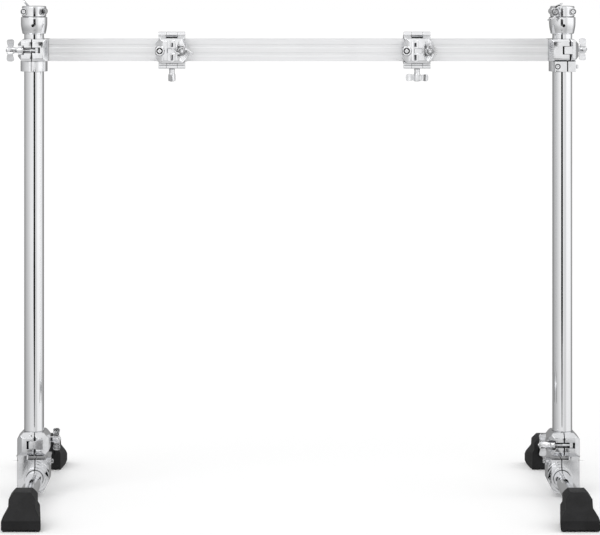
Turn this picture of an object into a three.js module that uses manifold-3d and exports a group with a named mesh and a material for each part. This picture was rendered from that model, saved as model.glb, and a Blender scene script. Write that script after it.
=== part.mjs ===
// Straight drum rack frame: two posts on floor legs, one square rail between them, and two clamps on the rail.
// Millimetres, +Z up, origin on the floor under the middle of the rack. X runs along the rail, -Y is the front.
import * as THREE from 'three';
import { mergeVertices } from 'three/addons/utils/BufferGeometryUtils.js';
import Module from 'manifold-3d';

const wasm = await Module();
wasm.setup();

// Driving dimensions
const postSpan = 1016;
const postDia = 38.1;
const postWall = 1.8;
const rackHeight = 941;
const railDrop = 84;
const railSide = 42;
const railWall = 3;
const legDia = 31.8;
const legWall = 2;
const legHeight = 38;
const legInset = 4;
const legReach = 308;
const clampSpots = { left_clamp: -242, right_clamp: 227 };
const wingTurns = { left: Math.PI * 0.42, right: Math.PI * 0.28, left_clamp: Math.PI * 0.47, right_clamp: 0.1 };

// Fits and working values
const slip = 0.3;
const splitGap = 1.6;
const overrun = 2;
const mergeStep = 1e-4;
const postSides = 32;
const tubeSides = 24;
const smallSides = 12;
const postR = postDia / 2;
const postBoreR = postR - postWall;
const postFitR = postR + slip;
const railHeight = rackHeight - railDrop;
const legR = legDia / 2;
const legFitR = legR + slip;

// Solids: every shape is turned into a closed solid, joined or cut, and turned back
function signedVolume(points, index) {
  const [a, b, c] = [new THREE.Vector3(), new THREE.Vector3(), new THREE.Vector3()];
  let sum = 0;
  for (let i = 0; i < index.length; i += 3) {
    a.fromArray(points, index[i] * 3);
    b.fromArray(points, index[i + 1] * 3);
    c.fromArray(points, index[i + 2] * 3);
    sum += a.dot(b.cross(c));
  }
  return sum;
}

function sharedVertices(geometry) {
  if (geometry.userData.closed) return geometry;
  const bare = new THREE.BufferGeometry();
  bare.setAttribute('position', geometry.getAttribute('position').clone());
  bare.setIndex(geometry.getIndex());
  return mergeVertices(bare, mergeStep);
}

function toSolid(geometry) {
  const merged = sharedVertices(geometry);
  const points = merged.getAttribute('position').array;
  const all = merged.getIndex().array;
  const index = [];
  for (let i = 0; i < all.length; i += 3) {
    const [p, q, r] = [all[i], all[i + 1], all[i + 2]];
    if (p !== q && q !== r && r !== p) index.push(p, q, r);
  }
  if (signedVolume(points, index) < 0) index.reverse();
  return new wasm.Manifold(new wasm.Mesh({
    numProp: 3,
    vertProperties: new Float32Array(points),
    triVerts: new Uint32Array(index),
  }));
}

function toGeometry(solid) {
  const mesh = solid.getMesh();
  const geometry = new THREE.BufferGeometry();
  geometry.setAttribute('position', new THREE.BufferAttribute(new Float32Array(mesh.vertProperties), 3));
  geometry.setIndex(new THREE.BufferAttribute(new Uint32Array(mesh.triVerts), 1));
  geometry.computeVertexNormals();
  geometry.userData.closed = true;
  return geometry;
}

const join = (...shapes) => toGeometry(shapes.map(toSolid).reduce((all, next) => all.add(next)));
const cut = (...shapes) => toGeometry(shapes.map(toSolid).reduce((all, next) => all.subtract(next)));
const meet = (...shapes) => toGeometry(shapes.map(toSolid).reduce((all, next) => all.intersect(next)));

// Shapes: a prism runs along the axis in its name, its outline lies in the other two axes in X, Y, Z order
function prism(points, low, high) {
  const outline = new THREE.Shape(points.map(([x, y]) => new THREE.Vector2(x, y)));
  return new THREE.ExtrudeGeometry(outline, { depth: high - low, bevelEnabled: false });
}
const prismZ = (points, low, high) => prism(points, low, high).translate(0, 0, low);
const prismY = (points, low, high) => prism(points, low, high).rotateX(Math.PI / 2).translate(0, high, 0);
const prismX = (points, low, high) =>
  prism(points, low, high).rotateX(Math.PI / 2).rotateZ(Math.PI / 2).translate(low, 0, 0);

function box(x0, x1, y0, y1, z0, z1) {
  const [dx, dy, dz] = [x1 - x0, y1 - y0, z1 - z0];
  return new THREE.BoxGeometry(dx, dy, dz).translate(x0 + dx / 2, y0 + dy / 2, z0 + dz / 2);
}

function rod(radius, low, high, sides) {
  const half = (high - low) / 2;
  return new THREE.CylinderGeometry(radius, radius, high - low, sides).translate(0, low + half, 0);
}
const rodY = (radius, low, high, sides = smallSides) => rod(radius, low, high, sides);
const rodZ = (radius, low, high, sides = smallSides) => rod(radius, low, high, sides).rotateX(Math.PI / 2);
const rodX = (radius, low, high, sides = smallSides) => rod(radius, low, high, sides).rotateZ(-Math.PI / 2);

// A turned shape about Z, from a closed outline of [radius, height] points
function turned(points, sides) {
  const outline = [...points, points[0]].map(([r, z]) => new THREE.Vector2(r, z));
  return new THREE.LatheGeometry(outline, sides).rotateX(Math.PI / 2);
}
const sleeve = (outer, inner, low, high, sides) =>
  turned([[inner, low], [outer, low], [outer, high], [inner, high]], sides);

// Finishes
const finishes = {
  chrome: { color: 0xd6d8dc, roughness: 0.12, metalness: 1 },
  aluminium: { color: 0xdcdde0, roughness: 0.4, metalness: 0.9 },
  rubber: { color: 0x262427, roughness: 0.75, metalness: 0 },
  nylon: { color: 0x2b2b2e, roughness: 0.55, metalness: 0 },
};

function piece(group, name, geometry, finish = 'chrome') {
  const mesh = new THREE.Mesh(geometry, new THREE.MeshStandardMaterial(finishes[finish]));
  mesh.name = name;
  group.add(mesh);
  return mesh;
}

// Wing nut along +Z from its seat at zero: flange, neck, hub and two swept wings
const wing = {
  rodR: 3, flangeR: 7.5, flangeLip: 1.6, neckR: 5.2, hubR: 6.6, hubLip: 2,
  blade: 16, halfSpan: 21.5, corner: 5, waist: 3, thick: 4.2, tipThick: 2.6, sweep: 4.5, steps: 4,
};

function wingBlades(neck) {
  const upper = [];
  const lower = [];
  for (let i = -wing.steps; i <= wing.steps; i++) {
    const along = i / wing.steps;
    const middle = wing.sweep * along * Math.abs(along);
    const half = THREE.MathUtils.lerp(wing.thick, wing.tipThick, Math.abs(along)) / 2;
    upper.push([wing.halfSpan * along, middle + half]);
    lower.push([wing.halfSpan * along, middle - half]);
  }
  const plan = [...lower, ...upper.reverse()];
  const { halfSpan, corner, hubR, waist } = wing;
  const high = neck + wing.blade;
  const side = [
    [-halfSpan, neck + corner], [corner - halfSpan, neck], [-hubR, neck + waist], [hubR, neck + waist],
    [halfSpan - corner, neck], [halfSpan, neck + corner], [halfSpan, high - corner],
    [halfSpan - corner, high], [hubR, high - waist], [-hubR, high - waist],
    [corner - halfSpan, high], [-halfSpan, high - corner],
  ];
  const reach = wing.sweep + wing.thick + overrun;
  return meet(prismZ(plan, 0, high + overrun), prismY(side, -reach, reach));
}

const wingTop = (neck) => neck + wing.blade - wing.waist + wing.hubLip;

function wingHub(innerR, neck, flangeR) {
  const { flangeLip, neckR, hubR, hubLip } = wing;
  const top = wingTop(neck);
  return turned([
    [innerR, 0], [flangeR, 0], [flangeR, flangeLip], [neckR, flangeLip + flangeR - neckR],
    [neckR, neck], [hubR, neck + hubLip], [hubR, top - hubLip], [neckR, top], [innerR, top],
  ], smallSides);
}

function wingNut(neck) {
  const fitR = wing.rodR + slip;
  const hole = rodZ(fitR, -overrun, neck + 2 * wing.blade);
  return cut(join(wingBlades(neck), wingHub(fitR, neck, wing.flangeR)), hole);
}

// Wing screw along Z: wings as the nut's, on a rod that runs down to its end
function wingScrew(rodR, end, neck, flangeR) {
  const core = rodZ(wing.neckR - slip, 0, wingTop(neck) - slip);
  return join(wingBlades(neck), wingHub(rodR, neck, flangeR), core, rodZ(rodR, end, overrun));
}

// Square-head key bolt along Z: head above zero, rod below
const keyHead = { side: 7, high: 4 };
function keyBolt(rodR, end) {
  const half = keyHead.side / 2;
  return join(box(-half, half, -half, half, 0, keyHead.high), rodZ(rodR, end, overrun));
}

// A hinged clamp round the Z axis: fixed half towards +X, jaw towards -X, bolt towards -Y, hinge towards +Y
const hinge = { pinR: 2.5, tongueR: 5.75, tongueHalf: 7.4, cap: 4 };
const pivot = { eyeR: 4.6, half: 5, stubR: 2.4, stubLength: 5, seatSteps: 5 };

function clampOutlines(c) {
  const g = splitGap / 2;
  const { front, back, inner, outer, corner, relief } = c;
  const fixed = [
    [c.boltSplit + g, -front], [inner - corner, -front], [inner, corner - front], [inner, back - corner],
    [inner - corner, back], [c.hingeSplit + g, back], [c.hingeSplit + g, 0], [c.boltSplit + g, 0],
  ];
  const jaw = [
    [c.boltSplit - g, -front], [c.boltSplit - g, 0], [c.hingeSplit - g, 0], [c.hingeSplit - g, back - relief],
    [c.hingeSplit - g - relief, back], [c.jawCorner - outer, back], [-outer, back - c.jawCorner],
    [-outer, c.jawCorner - front], [c.jawCorner - outer, -front],
  ];
  return { fixed, jaw };
}

// Room for the wing nut: its floor is an arc about the bolt's pivot, so that the bolt swings out freely
function nutPocket(c) {
  const nutR = wing.flangeR + splitGap;
  const start = Math.asin(nutR / c.seat);
  const points = [];
  for (let i = 0; i <= pivot.seatSteps; i++) {
    const angle = Math.PI - start + (i / pivot.seatSteps) * (start + Math.PI / 2);
    points.push([c.pivotX + c.seat * Math.cos(angle), c.seat * Math.sin(angle) - c.boltY]);
  }
  const far = c.seat + c.outer + c.front;
  points.push([c.pivotX, -far], [-far, -far], [-far, nutR - c.boltY]);
  return prismZ(points, -nutR, nutR);
}

function hingedClamp(c) {
  const half = c.height / 2;
  const far = c.outer + c.front;
  const { fixed, jaw } = clampOutlines(c);
  const bore = rodZ(c.bore, -half - overrun, half + overrun, c.sides);
  const slotHalf = pivot.half + slip;
  const slotEnd = c.pivotX + pivot.eyeR + splitGap;
  const boltSlot = box(-far, slotEnd, -far, pivot.eyeR + slip - c.boltY, -slotHalf, slotHalf);
  const stubEnd = slotHalf + pivot.stubLength;
  const stubHole = rodZ(pivot.stubR + slip, -stubEnd - slip, stubEnd + slip).translate(c.pivotX, -c.boltY, 0);
  const tongueSlotHalf = hinge.tongueHalf + slip;
  const tongueEnd = c.pinX + hinge.tongueR + splitGap;
  const tongueSlot = box(-far, tongueEnd, 0, far, -tongueSlotHalf, tongueSlotHalf);
  const pin = rodZ(hinge.pinR, hinge.cap - half, half - hinge.cap).translate(c.pinX, c.pinY, 0);
  const edge = c.edge;
  const front = [
    [c.inner + overrun, -half], [c.inner + overrun, half], [edge - c.outer, half],
    [-c.outer, half - edge], [-c.outer, edge - half], [edge - c.outer, -half],
  ];
  const body = join(cut(prismZ(fixed, -half, half), bore, boltSlot, stubHole, tongueSlot), pin);
  const shell = meet(prismZ(jaw, -half, half), prismY(front, -far, far));
  const tongueRoot = c.hingeSplit - splitGap / 2 - hinge.tongueR;
  const [nearY, farY] = [c.pinY - hinge.tongueR, c.pinY + hinge.tongueR];
  const tongue = join(
    box(tongueRoot, c.pinX, nearY, farY, -hinge.tongueHalf, hinge.tongueHalf),
    rodZ(hinge.tongueR, -hinge.tongueHalf, hinge.tongueHalf).translate(c.pinX, c.pinY, 0),
  );
  const pinHole = rodZ(hinge.pinR + slip, -half, half).translate(c.pinX, c.pinY, 0);
  const jawSlot = box(-far, slotEnd, -far, pivot.eyeR + slip - c.boltY, -c.slot, c.slot);
  const hinged = cut(join(cut(shell, bore, jawSlot, nutPocket(c)), tongue), pinHole);
  const bolt = join(
    rodZ(pivot.eyeR, -pivot.half, pivot.half),
    rodZ(pivot.stubR, -stubEnd, stubEnd),
    rodX(wing.rodR, -c.seat - wingTop(c.neck) - wing.hubLip, 0),
  ).translate(c.pivotX, -c.boltY, 0);
  const nut = wingNut(c.neck).rotateY(-Math.PI / 2).translate(c.pivotX - c.seat - slip, -c.boltY, 0);
  return { body, jaw: hinged, bolt, nut };
}

function turnClamp(parts, angle, x, y, z) {
  for (const part of Object.values(parts)) part.rotateZ(angle).translate(x, y, z);
  return parts;
}

// Post head: a cast cup over the post's end, and above it a split ring round the accessory tube's sleeve
const head = {
  cupHeight: 32.3, cupTopR: 25.4, cupBottomR: 20.6, shoulderR: 22.8, shoulder: 3.2, lip: 4.4,
  sightR: 2.9, sightDrop: 16, sleeveR: 14.2, sleeveBoreR: 12.9, sleeveLength: 66, sleeveSides: 20,
  ringHeight: 20.8, ringR: 23.4, bossX: 18.2, bossR: 7.6, bossReach: 21.2, recessR: 5.8, recess: 4.2,
  slit: 2.4, boltR: 2.8, wingNeck: 8,
};
const ringBottom = rackHeight - head.ringHeight;
const cupTop = ringBottom - slip;
const cupBottom = cupTop - head.cupHeight;
const postTop = cupTop - head.lip - slip;

function postCup() {
  const h = head;
  const neckR = h.sleeveR + slip;
  const body = turned([
    [postFitR, cupBottom], [h.cupBottomR, cupBottom], [h.shoulderR, cupBottom + h.shoulder],
    [h.cupTopR, cupTop - h.cupHeight / 3], [h.cupTopR, cupTop], [neckR, cupTop],
    [neckR, postTop + slip], [postFitR, postTop + slip],
  ], postSides);
  const reach = h.cupTopR + overrun;
  return cut(body, rodY(h.sightR, -reach, reach).translate(0, 0, cupTop - h.sightDrop));
}

function accessorySleeve() {
  const h = head;
  const insideR = postBoreR - slip;
  const neckBottom = postTop - slip;
  return turned([
    [h.sleeveBoreR, rackHeight - h.sleeveLength], [insideR, rackHeight - h.sleeveLength],
    [insideR, neckBottom], [h.sleeveR, neckBottom], [h.sleeveR, rackHeight - slip],
    [h.sleeveBoreR, rackHeight - slip],
  ], h.sleeveSides);
}

function ringClamp() {
  const h = head;
  const middle = h.ringHeight / 2;
  const boss = () => rodY(h.bossR, -h.bossReach, h.bossReach, tubeSides).translate(0, 0, middle);
  const through = h.bossReach + overrun;
  const hole = () => rodY(wing.rodR + slip, -through, through).translate(0, 0, middle);
  const recess = (from, to) => rodY(h.recessR, from, to).translate(0, 0, middle);
  const floor = h.bossReach - h.recess;
  let ring = join(
    sleeve(h.ringR, h.sleeveR, 0, h.ringHeight, postSides),
    boss().translate(-h.bossX, 0, 0), boss().translate(h.bossX, 0, 0),
  );
  for (const x of [-h.bossX, h.bossX]) {
    ring = cut(
      ring, hole().translate(x, 0, 0),
      recess(floor, through).translate(x, 0, 0), recess(-through, -floor).translate(x, 0, 0),
    );
  }
  const bore = rodZ(h.sleeveR + slip, -overrun, h.ringHeight + overrun, h.sleeveSides);
  const slitTop = h.ringHeight + overrun;
  const slit = box(-h.bossX - h.ringR, -h.sleeveBoreR, -h.slit / 2, h.slit / 2, -overrun, slitTop);
  return cut(ring, bore, slit);
}

// Both bolts of the ring lie along Y at half its height
function ringWingScrew() {
  const end = -2 * head.bossReach - slip + head.recess;
  const half = keyHead.side / 2;
  const tip = box(-half, half, -half, half, end - keyHead.high + slip, end - slip);
  return join(wingScrew(wing.rodR, end - slip, head.wingNeck, wing.flangeR), tip);
}

// Rail joint: hinged clamp on the post with a spigot for the rail
const railJoint = {
  height: 42, bore: postFitR, sides: postSides, inner: 29, outer: 29, front: 36, back: 33, corner: 9,
  relief: 4, edge: 9, jawCorner: 12, boltSplit: -2, hingeSplit: -11.5, pivotX: 8, boltY: 28.5,
  pinX: -4.5, pinY: 26.5, seat: 25.5, slot: 5.2, neck: 17,
};
const spigotLength = 28;

// Memory collar: a split ring with a screw boss behind and a grip block in front
const collar = {
  height: 18.6, ringR: 26, gap: 2, gapX: -11, earBack: 31, earLeft: -23, earRight: 12, boltY: 25.2, boltR: 2.6,
  gripLeft: -9, gripRight: 3.6, gripFront: 28.6, gripGroove: 1.6,
};
const collarTop = railHeight - railJoint.height / 2 - slip;

function memoryCollar() {
  const c = collar;
  const middle = -c.height / 2;
  const low = -c.height;
  const ring = join(
    rodZ(c.ringR, low, 0, postSides),
    box(c.earLeft, c.earRight, 0, c.earBack, low, 0),
    box(c.gripLeft, c.gripRight, -c.gripFront, 0, low, 0),
  );
  const grip = (c.gripLeft + c.gripRight) / 2;
  const groove = c.gripGroove / 2;
  const grooveFloor = c.gripGroove - c.gripFront;
  return cut(
    ring,
    rodZ(postFitR, low - overrun, overrun, postSides),
    box(c.gapX - c.gap / 2, c.gapX + c.gap / 2, 0, c.earBack + overrun, low - overrun, overrun),
    rodX(c.boltR + slip, c.earLeft - overrun, c.earRight + overrun).translate(0, c.boltY, middle),
    box(grip - groove, grip + groove, -c.gripFront - overrun, grooveFloor, low - overrun, overrun),
  );
}

// Rail: square extrusion with two shallow grooves in each face
const groove = { width: 6.5, depth: 1.2, offset: 8 };
function railShape() {
  const half = railSide / 2;
  const points = [];
  for (let side = 0; side < 4; side++) {
    const turn = (side * Math.PI) / 2;
    const edge = [[-half, -half]];
    for (const centre of [-groove.offset, groove.offset]) {
      const [from, to] = [centre - groove.width / 2, centre + groove.width / 2];
      edge.push([from, -half], [from, groove.depth - half], [to, groove.depth - half], [to, -half]);
    }
    for (const [x, y] of edge) {
      points.push([x * Math.cos(turn) - y * Math.sin(turn), x * Math.sin(turn) + y * Math.cos(turn)]);
    }
  }
  return points;
}

function rail(length) {
  const inside = railSide / 2 - railWall;
  const whole = prismX(railShape(), -length / 2, length / 2);
  const reach = length / 2 + overrun;
  return cut(whole, box(-reach, reach, -inside, inside, -inside, inside));
}

// Leg block: outer casting from the post down to the leg tube, with a hinged post jaw and a bolted tube jaw.
// It is drawn with the casting towards +X and is turned half round for the left side.
const legClamp = {
  height: 45, bore: postFitR, sides: postSides, inner: 30.5, outer: 30.5, front: 36, back: 33, corner: 10,
  relief: 4, edge: 10, jawCorner: 12, boltSplit: 0, hingeSplit: -3, pivotX: 14, boltY: 28.5,
  pinX: 4, pinY: 26.5, seat: 31.5, slot: 5.2, neck: 15,
};
const legBlock = {
  top: 125, edge: 12, slitTop: 80, slitBottom: 73, bottom: 10, slitRight: 9, depth: 26, ringR: 20.5,
  ringStep: 3, toe: 11.5, toeRise: 22.6, shoulder: 7, shoulderDrop: 14, boltHeight: 66, boltEnd: 14,
  collarR: 8, collarHigh: 2.4,
};

function legLower(points, split) {
  const b = legBlock;
  const reach = b.depth + b.ringStep;
  const ring = rodY(b.ringR, -reach, reach, tubeSides).translate(-legInset, 0, legHeight);
  const inSplit = box(split[0], split[1], -reach - overrun, reach + overrun, 0, b.top);
  const bore = rodY(legFitR, -reach - overrun, reach + overrun, tubeSides).translate(-legInset, 0, legHeight);
  return cut(meet(join(prismY(points, -b.depth, b.depth), ring), inSplit), bore);
}

function legBracket(upper) {
  const b = legBlock;
  const outer = legClamp.inner;
  const left = -legInset + splitGap / 2;
  const foot = [[-outer, b.bottom], [outer, b.bottom], [outer, b.slitBottom], [-outer, b.slitBottom]];
  const lower = legLower(foot, [left, outer + overrun]);
  const web = box(b.slitRight, outer, -b.depth, b.depth, b.slitBottom - overrun, b.slitTop + overrun);
  const webBore = rodZ(postFitR, b.slitTop, b.slitTop + 2 * overrun, postSides);
  const boltHole = rodX(collar.boltR + slip, -outer, b.boltEnd).translate(0, 0, b.boltHeight);
  const topEdge = [
    [outer - b.edge, b.top], [outer, b.top - b.edge], [outer + overrun, b.top - b.edge],
    [outer + overrun, b.top + overrun], [outer - b.edge, b.top + overrun],
  ];
  const topCut = prismY(topEdge, -outer - b.depth, outer + b.depth);
  return cut(join(upper, lower, cut(web, webBore)), boltHole, topCut);
}

function tubeJaw() {
  const b = legBlock;
  const inner = -legClamp.outer;
  const right = -legInset - splitGap / 2;
  const outline = [
    [inner + b.toe, b.bottom], [right + overrun, b.bottom], [right + overrun, b.slitBottom],
    [inner + b.shoulder, b.slitBottom], [inner, b.slitBottom - b.shoulderDrop], [inner, b.bottom + b.toeRise],
  ];
  const lower = legLower(outline, [inner - overrun, right]);
  const seat = rodX(b.collarR, inner - b.collarHigh, inner + b.shoulder, tubeSides);
  seat.translate(0, 0, b.boltHeight);
  const hole = rodX(collar.boltR + slip, inner - b.collarR, 0).translate(0, 0, b.boltHeight);
  return cut(join(lower, seat), hole);
}

// Foot: a moulded block with a flat top, a sloping toe and a flared tread
const foot = {
  height: 66, length: 75, topLength: 48, toeHigh: 20, socket: 38, tread: 3, treadWidth: 5, treadPitch: 12,
  topHalf: 15, crownHalf: 24.3, crownDrop: 11, waistHalf: 24.3, waistHigh: 40, flareHalf: 33.5, flareHigh: 26,
  baseHalf: 35.8, baseHigh: 19, soleHalf: 33, heelHalf: 28, heelCut: 3,
};

// The foot's socket faces +Y at zero and its toe points to -Y
function rubberFoot() {
  const f = foot;
  const right = [
    [f.soleHalf, 0], [f.baseHalf, f.treadWidth], [f.baseHalf, f.baseHigh], [f.flareHalf, f.flareHigh],
    [f.waistHalf, f.waistHigh], [f.crownHalf, f.height - f.crownDrop], [f.topHalf, f.height],
  ];
  const left = right.map(([x, z]) => [-x, z]).reverse();
  const side = [
    [f.heelCut - f.length, 0], [-f.heelCut, 0], [0, f.heelCut], [0, f.height - f.crownDrop / 2],
    [-f.crownDrop / 2, f.height], [-f.topLength, f.height], [-f.length, f.toeHigh], [-f.length, f.heelCut],
  ];
  const plan = [[-f.baseHalf, -f.length], [f.baseHalf, -f.length], [f.heelHalf, 0], [-f.heelHalf, 0]];
  const body = meet(
    prismY([...right, ...left], -f.length - overrun, overrun), prismX(side, -f.baseHalf, f.baseHalf),
    prismZ(plan, -overrun, f.height + overrun),
  );
  const tools = [rodY(legFitR, -f.socket, overrun, tubeSides).translate(0, 0, legHeight)];
  const lugs = Math.floor(f.soleHalf / f.treadPitch);
  for (let i = -lugs; i <= lugs; i++) {
    const x = i * f.treadPitch;
    const half = f.treadWidth / 2;
    tools.push(box(x - half, x + half, -f.length - overrun, overrun, -overrun, f.tread));
  }
  return cut(body, ...tools);
}

// One side of the rack, in its own frame: post on the Z axis, rail towards +X
const postBottom = legBlock.slitTop + slip;

function sideAssembly(side, ringFlipped) {
  const group = new THREE.Group();
  const add = (name, geometry, finish) => piece(group, `${side}_${name}`, geometry, finish);

  add('post', sleeve(postR, postBoreR, postBottom, postTop, postSides));
  add('top_cup', postCup());
  add('top_bushing', accessorySleeve(), 'nylon');

  const ring = new THREE.Group();
  ring.position.z = ringBottom + head.ringHeight / 2;
  if (ringFlipped) ring.rotation.y = Math.PI;
  group.add(ring);
  const low = -head.ringHeight / 2;
  piece(ring, `${side}_top_ring`, ringClamp().translate(0, 0, low));
  const screw = piece(ring, `${side}_top_wing_screw`, ringWingScrew());
  screw.position.set(-head.bossX, head.bossReach + slip, 0);
  screw.rotation.set(-Math.PI / 2, 0, wingTurns[side]);
  const key = piece(ring, `${side}_top_key_bolt`, keyBolt(head.boltR, -head.bossReach));
  key.position.set(head.bossX, head.bossReach - head.recess + slip, 0);
  key.rotation.set(-Math.PI / 2, 0, Math.PI / 4);

  const joint = turnClamp(hingedClamp(railJoint), 0, 0, 0, railHeight);
  const insideHalf = railSide / 2 - railWall - slip;
  const spigot = box(
    railJoint.inner - overrun, railJoint.inner + spigotLength, -insideHalf, insideHalf,
    railHeight - insideHalf, railHeight + insideHalf,
  );
  add('rail_joint_body', join(joint.body, spigot));
  add('rail_joint_jaw', joint.jaw);
  add('rail_joint_swing_bolt', joint.bolt);
  add('rail_joint_wing_nut', joint.nut);

  add('memory_collar', memoryCollar()).position.z = collarTop;
  const collarBolt = add('collar_bolt', keyBolt(collar.boltR, collar.earLeft - collar.earRight + slip));
  collarBolt.position.set(collar.earLeft - slip, collar.boltY, collarTop - collar.height / 2);
  collarBolt.rotation.y = -Math.PI / 2;

  const clampMiddle = (legBlock.top + legBlock.slitTop) / 2;
  const leg = turnClamp(hingedClamp(legClamp), 0, 0, 0, clampMiddle);
  const block = new THREE.Group();
  block.rotation.z = Math.PI;
  group.add(block);
  const fit = (name, geometry, finish) => piece(block, `${side}_${name}`, geometry, finish);
  fit('leg_bracket', legBracket(leg.body));
  fit('post_jaw', leg.jaw);
  fit('post_jaw_swing_bolt', leg.bolt);
  fit('post_jaw_wing_nut', leg.nut);
  fit('tube_jaw', tubeJaw());
  const jawFace = -legClamp.outer - legBlock.collarHigh;
  const boltLength = legBlock.boltEnd - jawFace - slip;
  const jawBolt = fit('tube_jaw_bolt', keyBolt(collar.boltR, -boltLength));
  jawBolt.position.set(jawFace - slip, 0, legBlock.boltHeight);
  jawBolt.rotation.y = -Math.PI / 2;
  const tubeEnd = legReach - foot.length + foot.socket - slip;
  const tube = sleeve(legR, legR - legWall, -tubeEnd, tubeEnd, tubeSides).rotateX(Math.PI / 2);
  fit('leg_tube', tube).position.set(-legInset, 0, legHeight);
  const heel = legReach - foot.length;
  const front = fit(side === 'left' ? 'front_foot' : 'rear_foot', rubberFoot(), 'rubber');
  front.position.set(-legInset, heel, 0);
  front.rotation.z = Math.PI;
  const rear = fit(side === 'left' ? 'rear_foot' : 'front_foot', rubberFoot(), 'rubber');
  rear.position.set(-legInset, -heel, 0);
  return group;
}

// Rail clamp: a body on the rail's front face, a rear jaw on a top hinge, and a gate round an upright tube.
// In its own frame X runs along the rail, and the origin is the rail's centre.
const gateClamp = {
  height: 47, bore: 13, sides: tubeSides, inner: 24.7, outer: 19, front: 30, back: 30, corner: 3, relief: 4,
  edge: 5, boltSplit: 0, hingeSplit: 0, pivotX: 10.5, boltY: 21.5, pinX: 6.2, pinY: 21.5, seat: 21.5, slot: 3.8,
  neck: 11, jawCorner: 13,
};
const railClamp = {
  tubeY: -46, faceCorner: 9, knuckleR: 5.8, knuckleZ: 29.8, pinR: 2.5, midHalf: 10.4, width: 51, jawThick: 6,
  jawGrip: 48, screwR: 2.4, screwUp: 12, lugBottom: 35, collarR: 5.8, screwNeck: 9,
  bossX: -22, bossR: 9.6, bossReach: 67, recessR: 6, recess: 4.4, boltDepth: 8, boltR: 2.6,
};
const knuckleY = -railSide / 2 - slip - railClamp.knuckleR;
const lugFront = knuckleY - railClamp.knuckleR;

// The front view of the clamp is a square with cut corners
function clampFace(geometry) {
  const half = gateClamp.height / 2;
  const wide = gateClamp.front;
  const c = railClamp.faceCorner;
  const face = [
    [c - wide, -half], [wide - c, -half], [wide, c - half], [wide, half - c],
    [wide - c, half], [c - wide, half], [-wide, half - c], [-wide, c - half],
  ];
  return meet(geometry, prismY(face, 2 * railClamp.tubeY, 0));
}

function clampBody(gateBody) {
  const k = railClamp;
  const half = k.width / 2;
  const top = gateClamp.height / 2;
  const back = -railSide / 2 - slip;
  const knuckle = (from, to) => join(
    rodX(k.knuckleR, from, to).translate(0, knuckleY, k.knuckleZ),
    box(from, to, lugFront, back, top - overrun, k.knuckleZ),
  );
  const lug = (from, to) => box(from, to, lugFront, back, -k.lugBottom, overrun - top);
  const inside = k.midHalf + slip;
  const pinHole = rodX(k.pinR + slip, -half - overrun, half + overrun).translate(0, knuckleY, k.knuckleZ);
  const screwHole = rodZ(k.screwR + slip, -top - overrun, k.screwUp - top).translate(0, knuckleY, 0);
  const knuckles = join(knuckle(-half, -inside), knuckle(inside, half));
  const lugs = join(lug(-half, -inside), lug(inside, half));
  return cut(join(clampFace(gateBody), knuckles, lugs), pinHole, screwHole);
}

// The rear jaw goes over the rail, down its back and under it, and its lower lug takes the wing screw
function rearJaw() {
  const k = railClamp;
  const near = railSide / 2 + slip;
  const far = near + k.jawThick;
  const half = k.jawGrip / 2;
  const bevel = k.jawThick / 2;
  const front = slip - railSide / 2;
  const hook = [
    [front, near], [near, near], [near, -near], [front, -near], [front, -far],
    [far - bevel, -far], [far, bevel - far], [far, far - bevel], [far - bevel, far], [front, far],
  ];
  const top = gateClamp.height / 2 + slip;
  const eye = join(
    rodX(k.knuckleR, -k.midHalf, k.midHalf).translate(0, knuckleY, k.knuckleZ),
    box(-k.midHalf, k.midHalf, knuckleY, front + overrun, top, k.knuckleZ),
  );
  const lug = box(-k.midHalf, k.midHalf, lugFront, front + overrun, -k.lugBottom, -top);
  const pinHole = rodX(k.pinR + slip, -half, half).translate(0, knuckleY, k.knuckleZ);
  const screwHole = rodZ(k.screwR + slip, -k.lugBottom - overrun, overrun - top).translate(0, knuckleY, 0);
  return cut(join(prismX(hook, -half, half), eye, lug), pinHole, screwHole);
}

// The gate carries a round boss with a recess for its key bolt
const keyFloor = railClamp.recess - railClamp.bossReach;
function gate(shell) {
  const k = railClamp;
  const boss = rodY(k.bossR, -k.bossReach, k.tubeY - splitGap, tubeSides).translate(k.bossX, 0, 0);
  const recess = rodY(k.recessR, -k.bossReach - overrun, keyFloor, tubeSides).translate(k.bossX, 0, 0);
  const hole = rodY(k.boltR + slip, keyFloor - overrun, keyFloor + k.boltDepth + slip).translate(k.bossX, 0, 0);
  return cut(clampFace(join(shell, boss)), recess, hole);
}

function railClampAssembly(name) {
  const group = new THREE.Group();
  const k = railClamp;
  const parts = turnClamp(hingedClamp(gateClamp), Math.PI / 2, 0, k.tubeY, 0);
  const add = (piecename, geometry) => piece(group, `${name}_${piecename}`, geometry);
  add('body', clampBody(parts.body));
  add('rear_jaw', rearJaw());
  const half = k.width / 2;
  add('hinge_pin', rodX(k.pinR, -half, half)).position.set(0, knuckleY, k.knuckleZ);
  const screwEnd = gateClamp.height / 2 - k.lugBottom - k.screwUp;
  const screw = add('wing_screw', wingScrew(k.screwR, screwEnd, k.screwNeck, k.collarR));
  screw.position.set(0, knuckleY, -k.lugBottom - slip);
  screw.rotation.set(Math.PI, 0, wingTurns[name]);
  add('gate', gate(parts.jaw));
  const key = add('gate_key_bolt', keyBolt(k.boltR, -k.boltDepth));
  key.position.set(k.bossX, keyFloor - slip, 0);
  key.rotation.set(Math.PI / 2, 0, Math.PI / 4);
  add('gate_swing_bolt', parts.bolt);
  add('gate_wing_nut', parts.nut);
  return group;
}

const rack = new THREE.Group();
const left = sideAssembly('left', false);
left.position.x = -postSpan / 2;
rack.add(left);
const right = sideAssembly('right', true);
right.position.x = postSpan / 2;
right.rotation.z = Math.PI;
rack.add(right);

const railLength = postSpan - 2 * (railJoint.inner + slip);
piece(rack, 'rail', rail(railLength), 'aluminium').position.z = railHeight;

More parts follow.
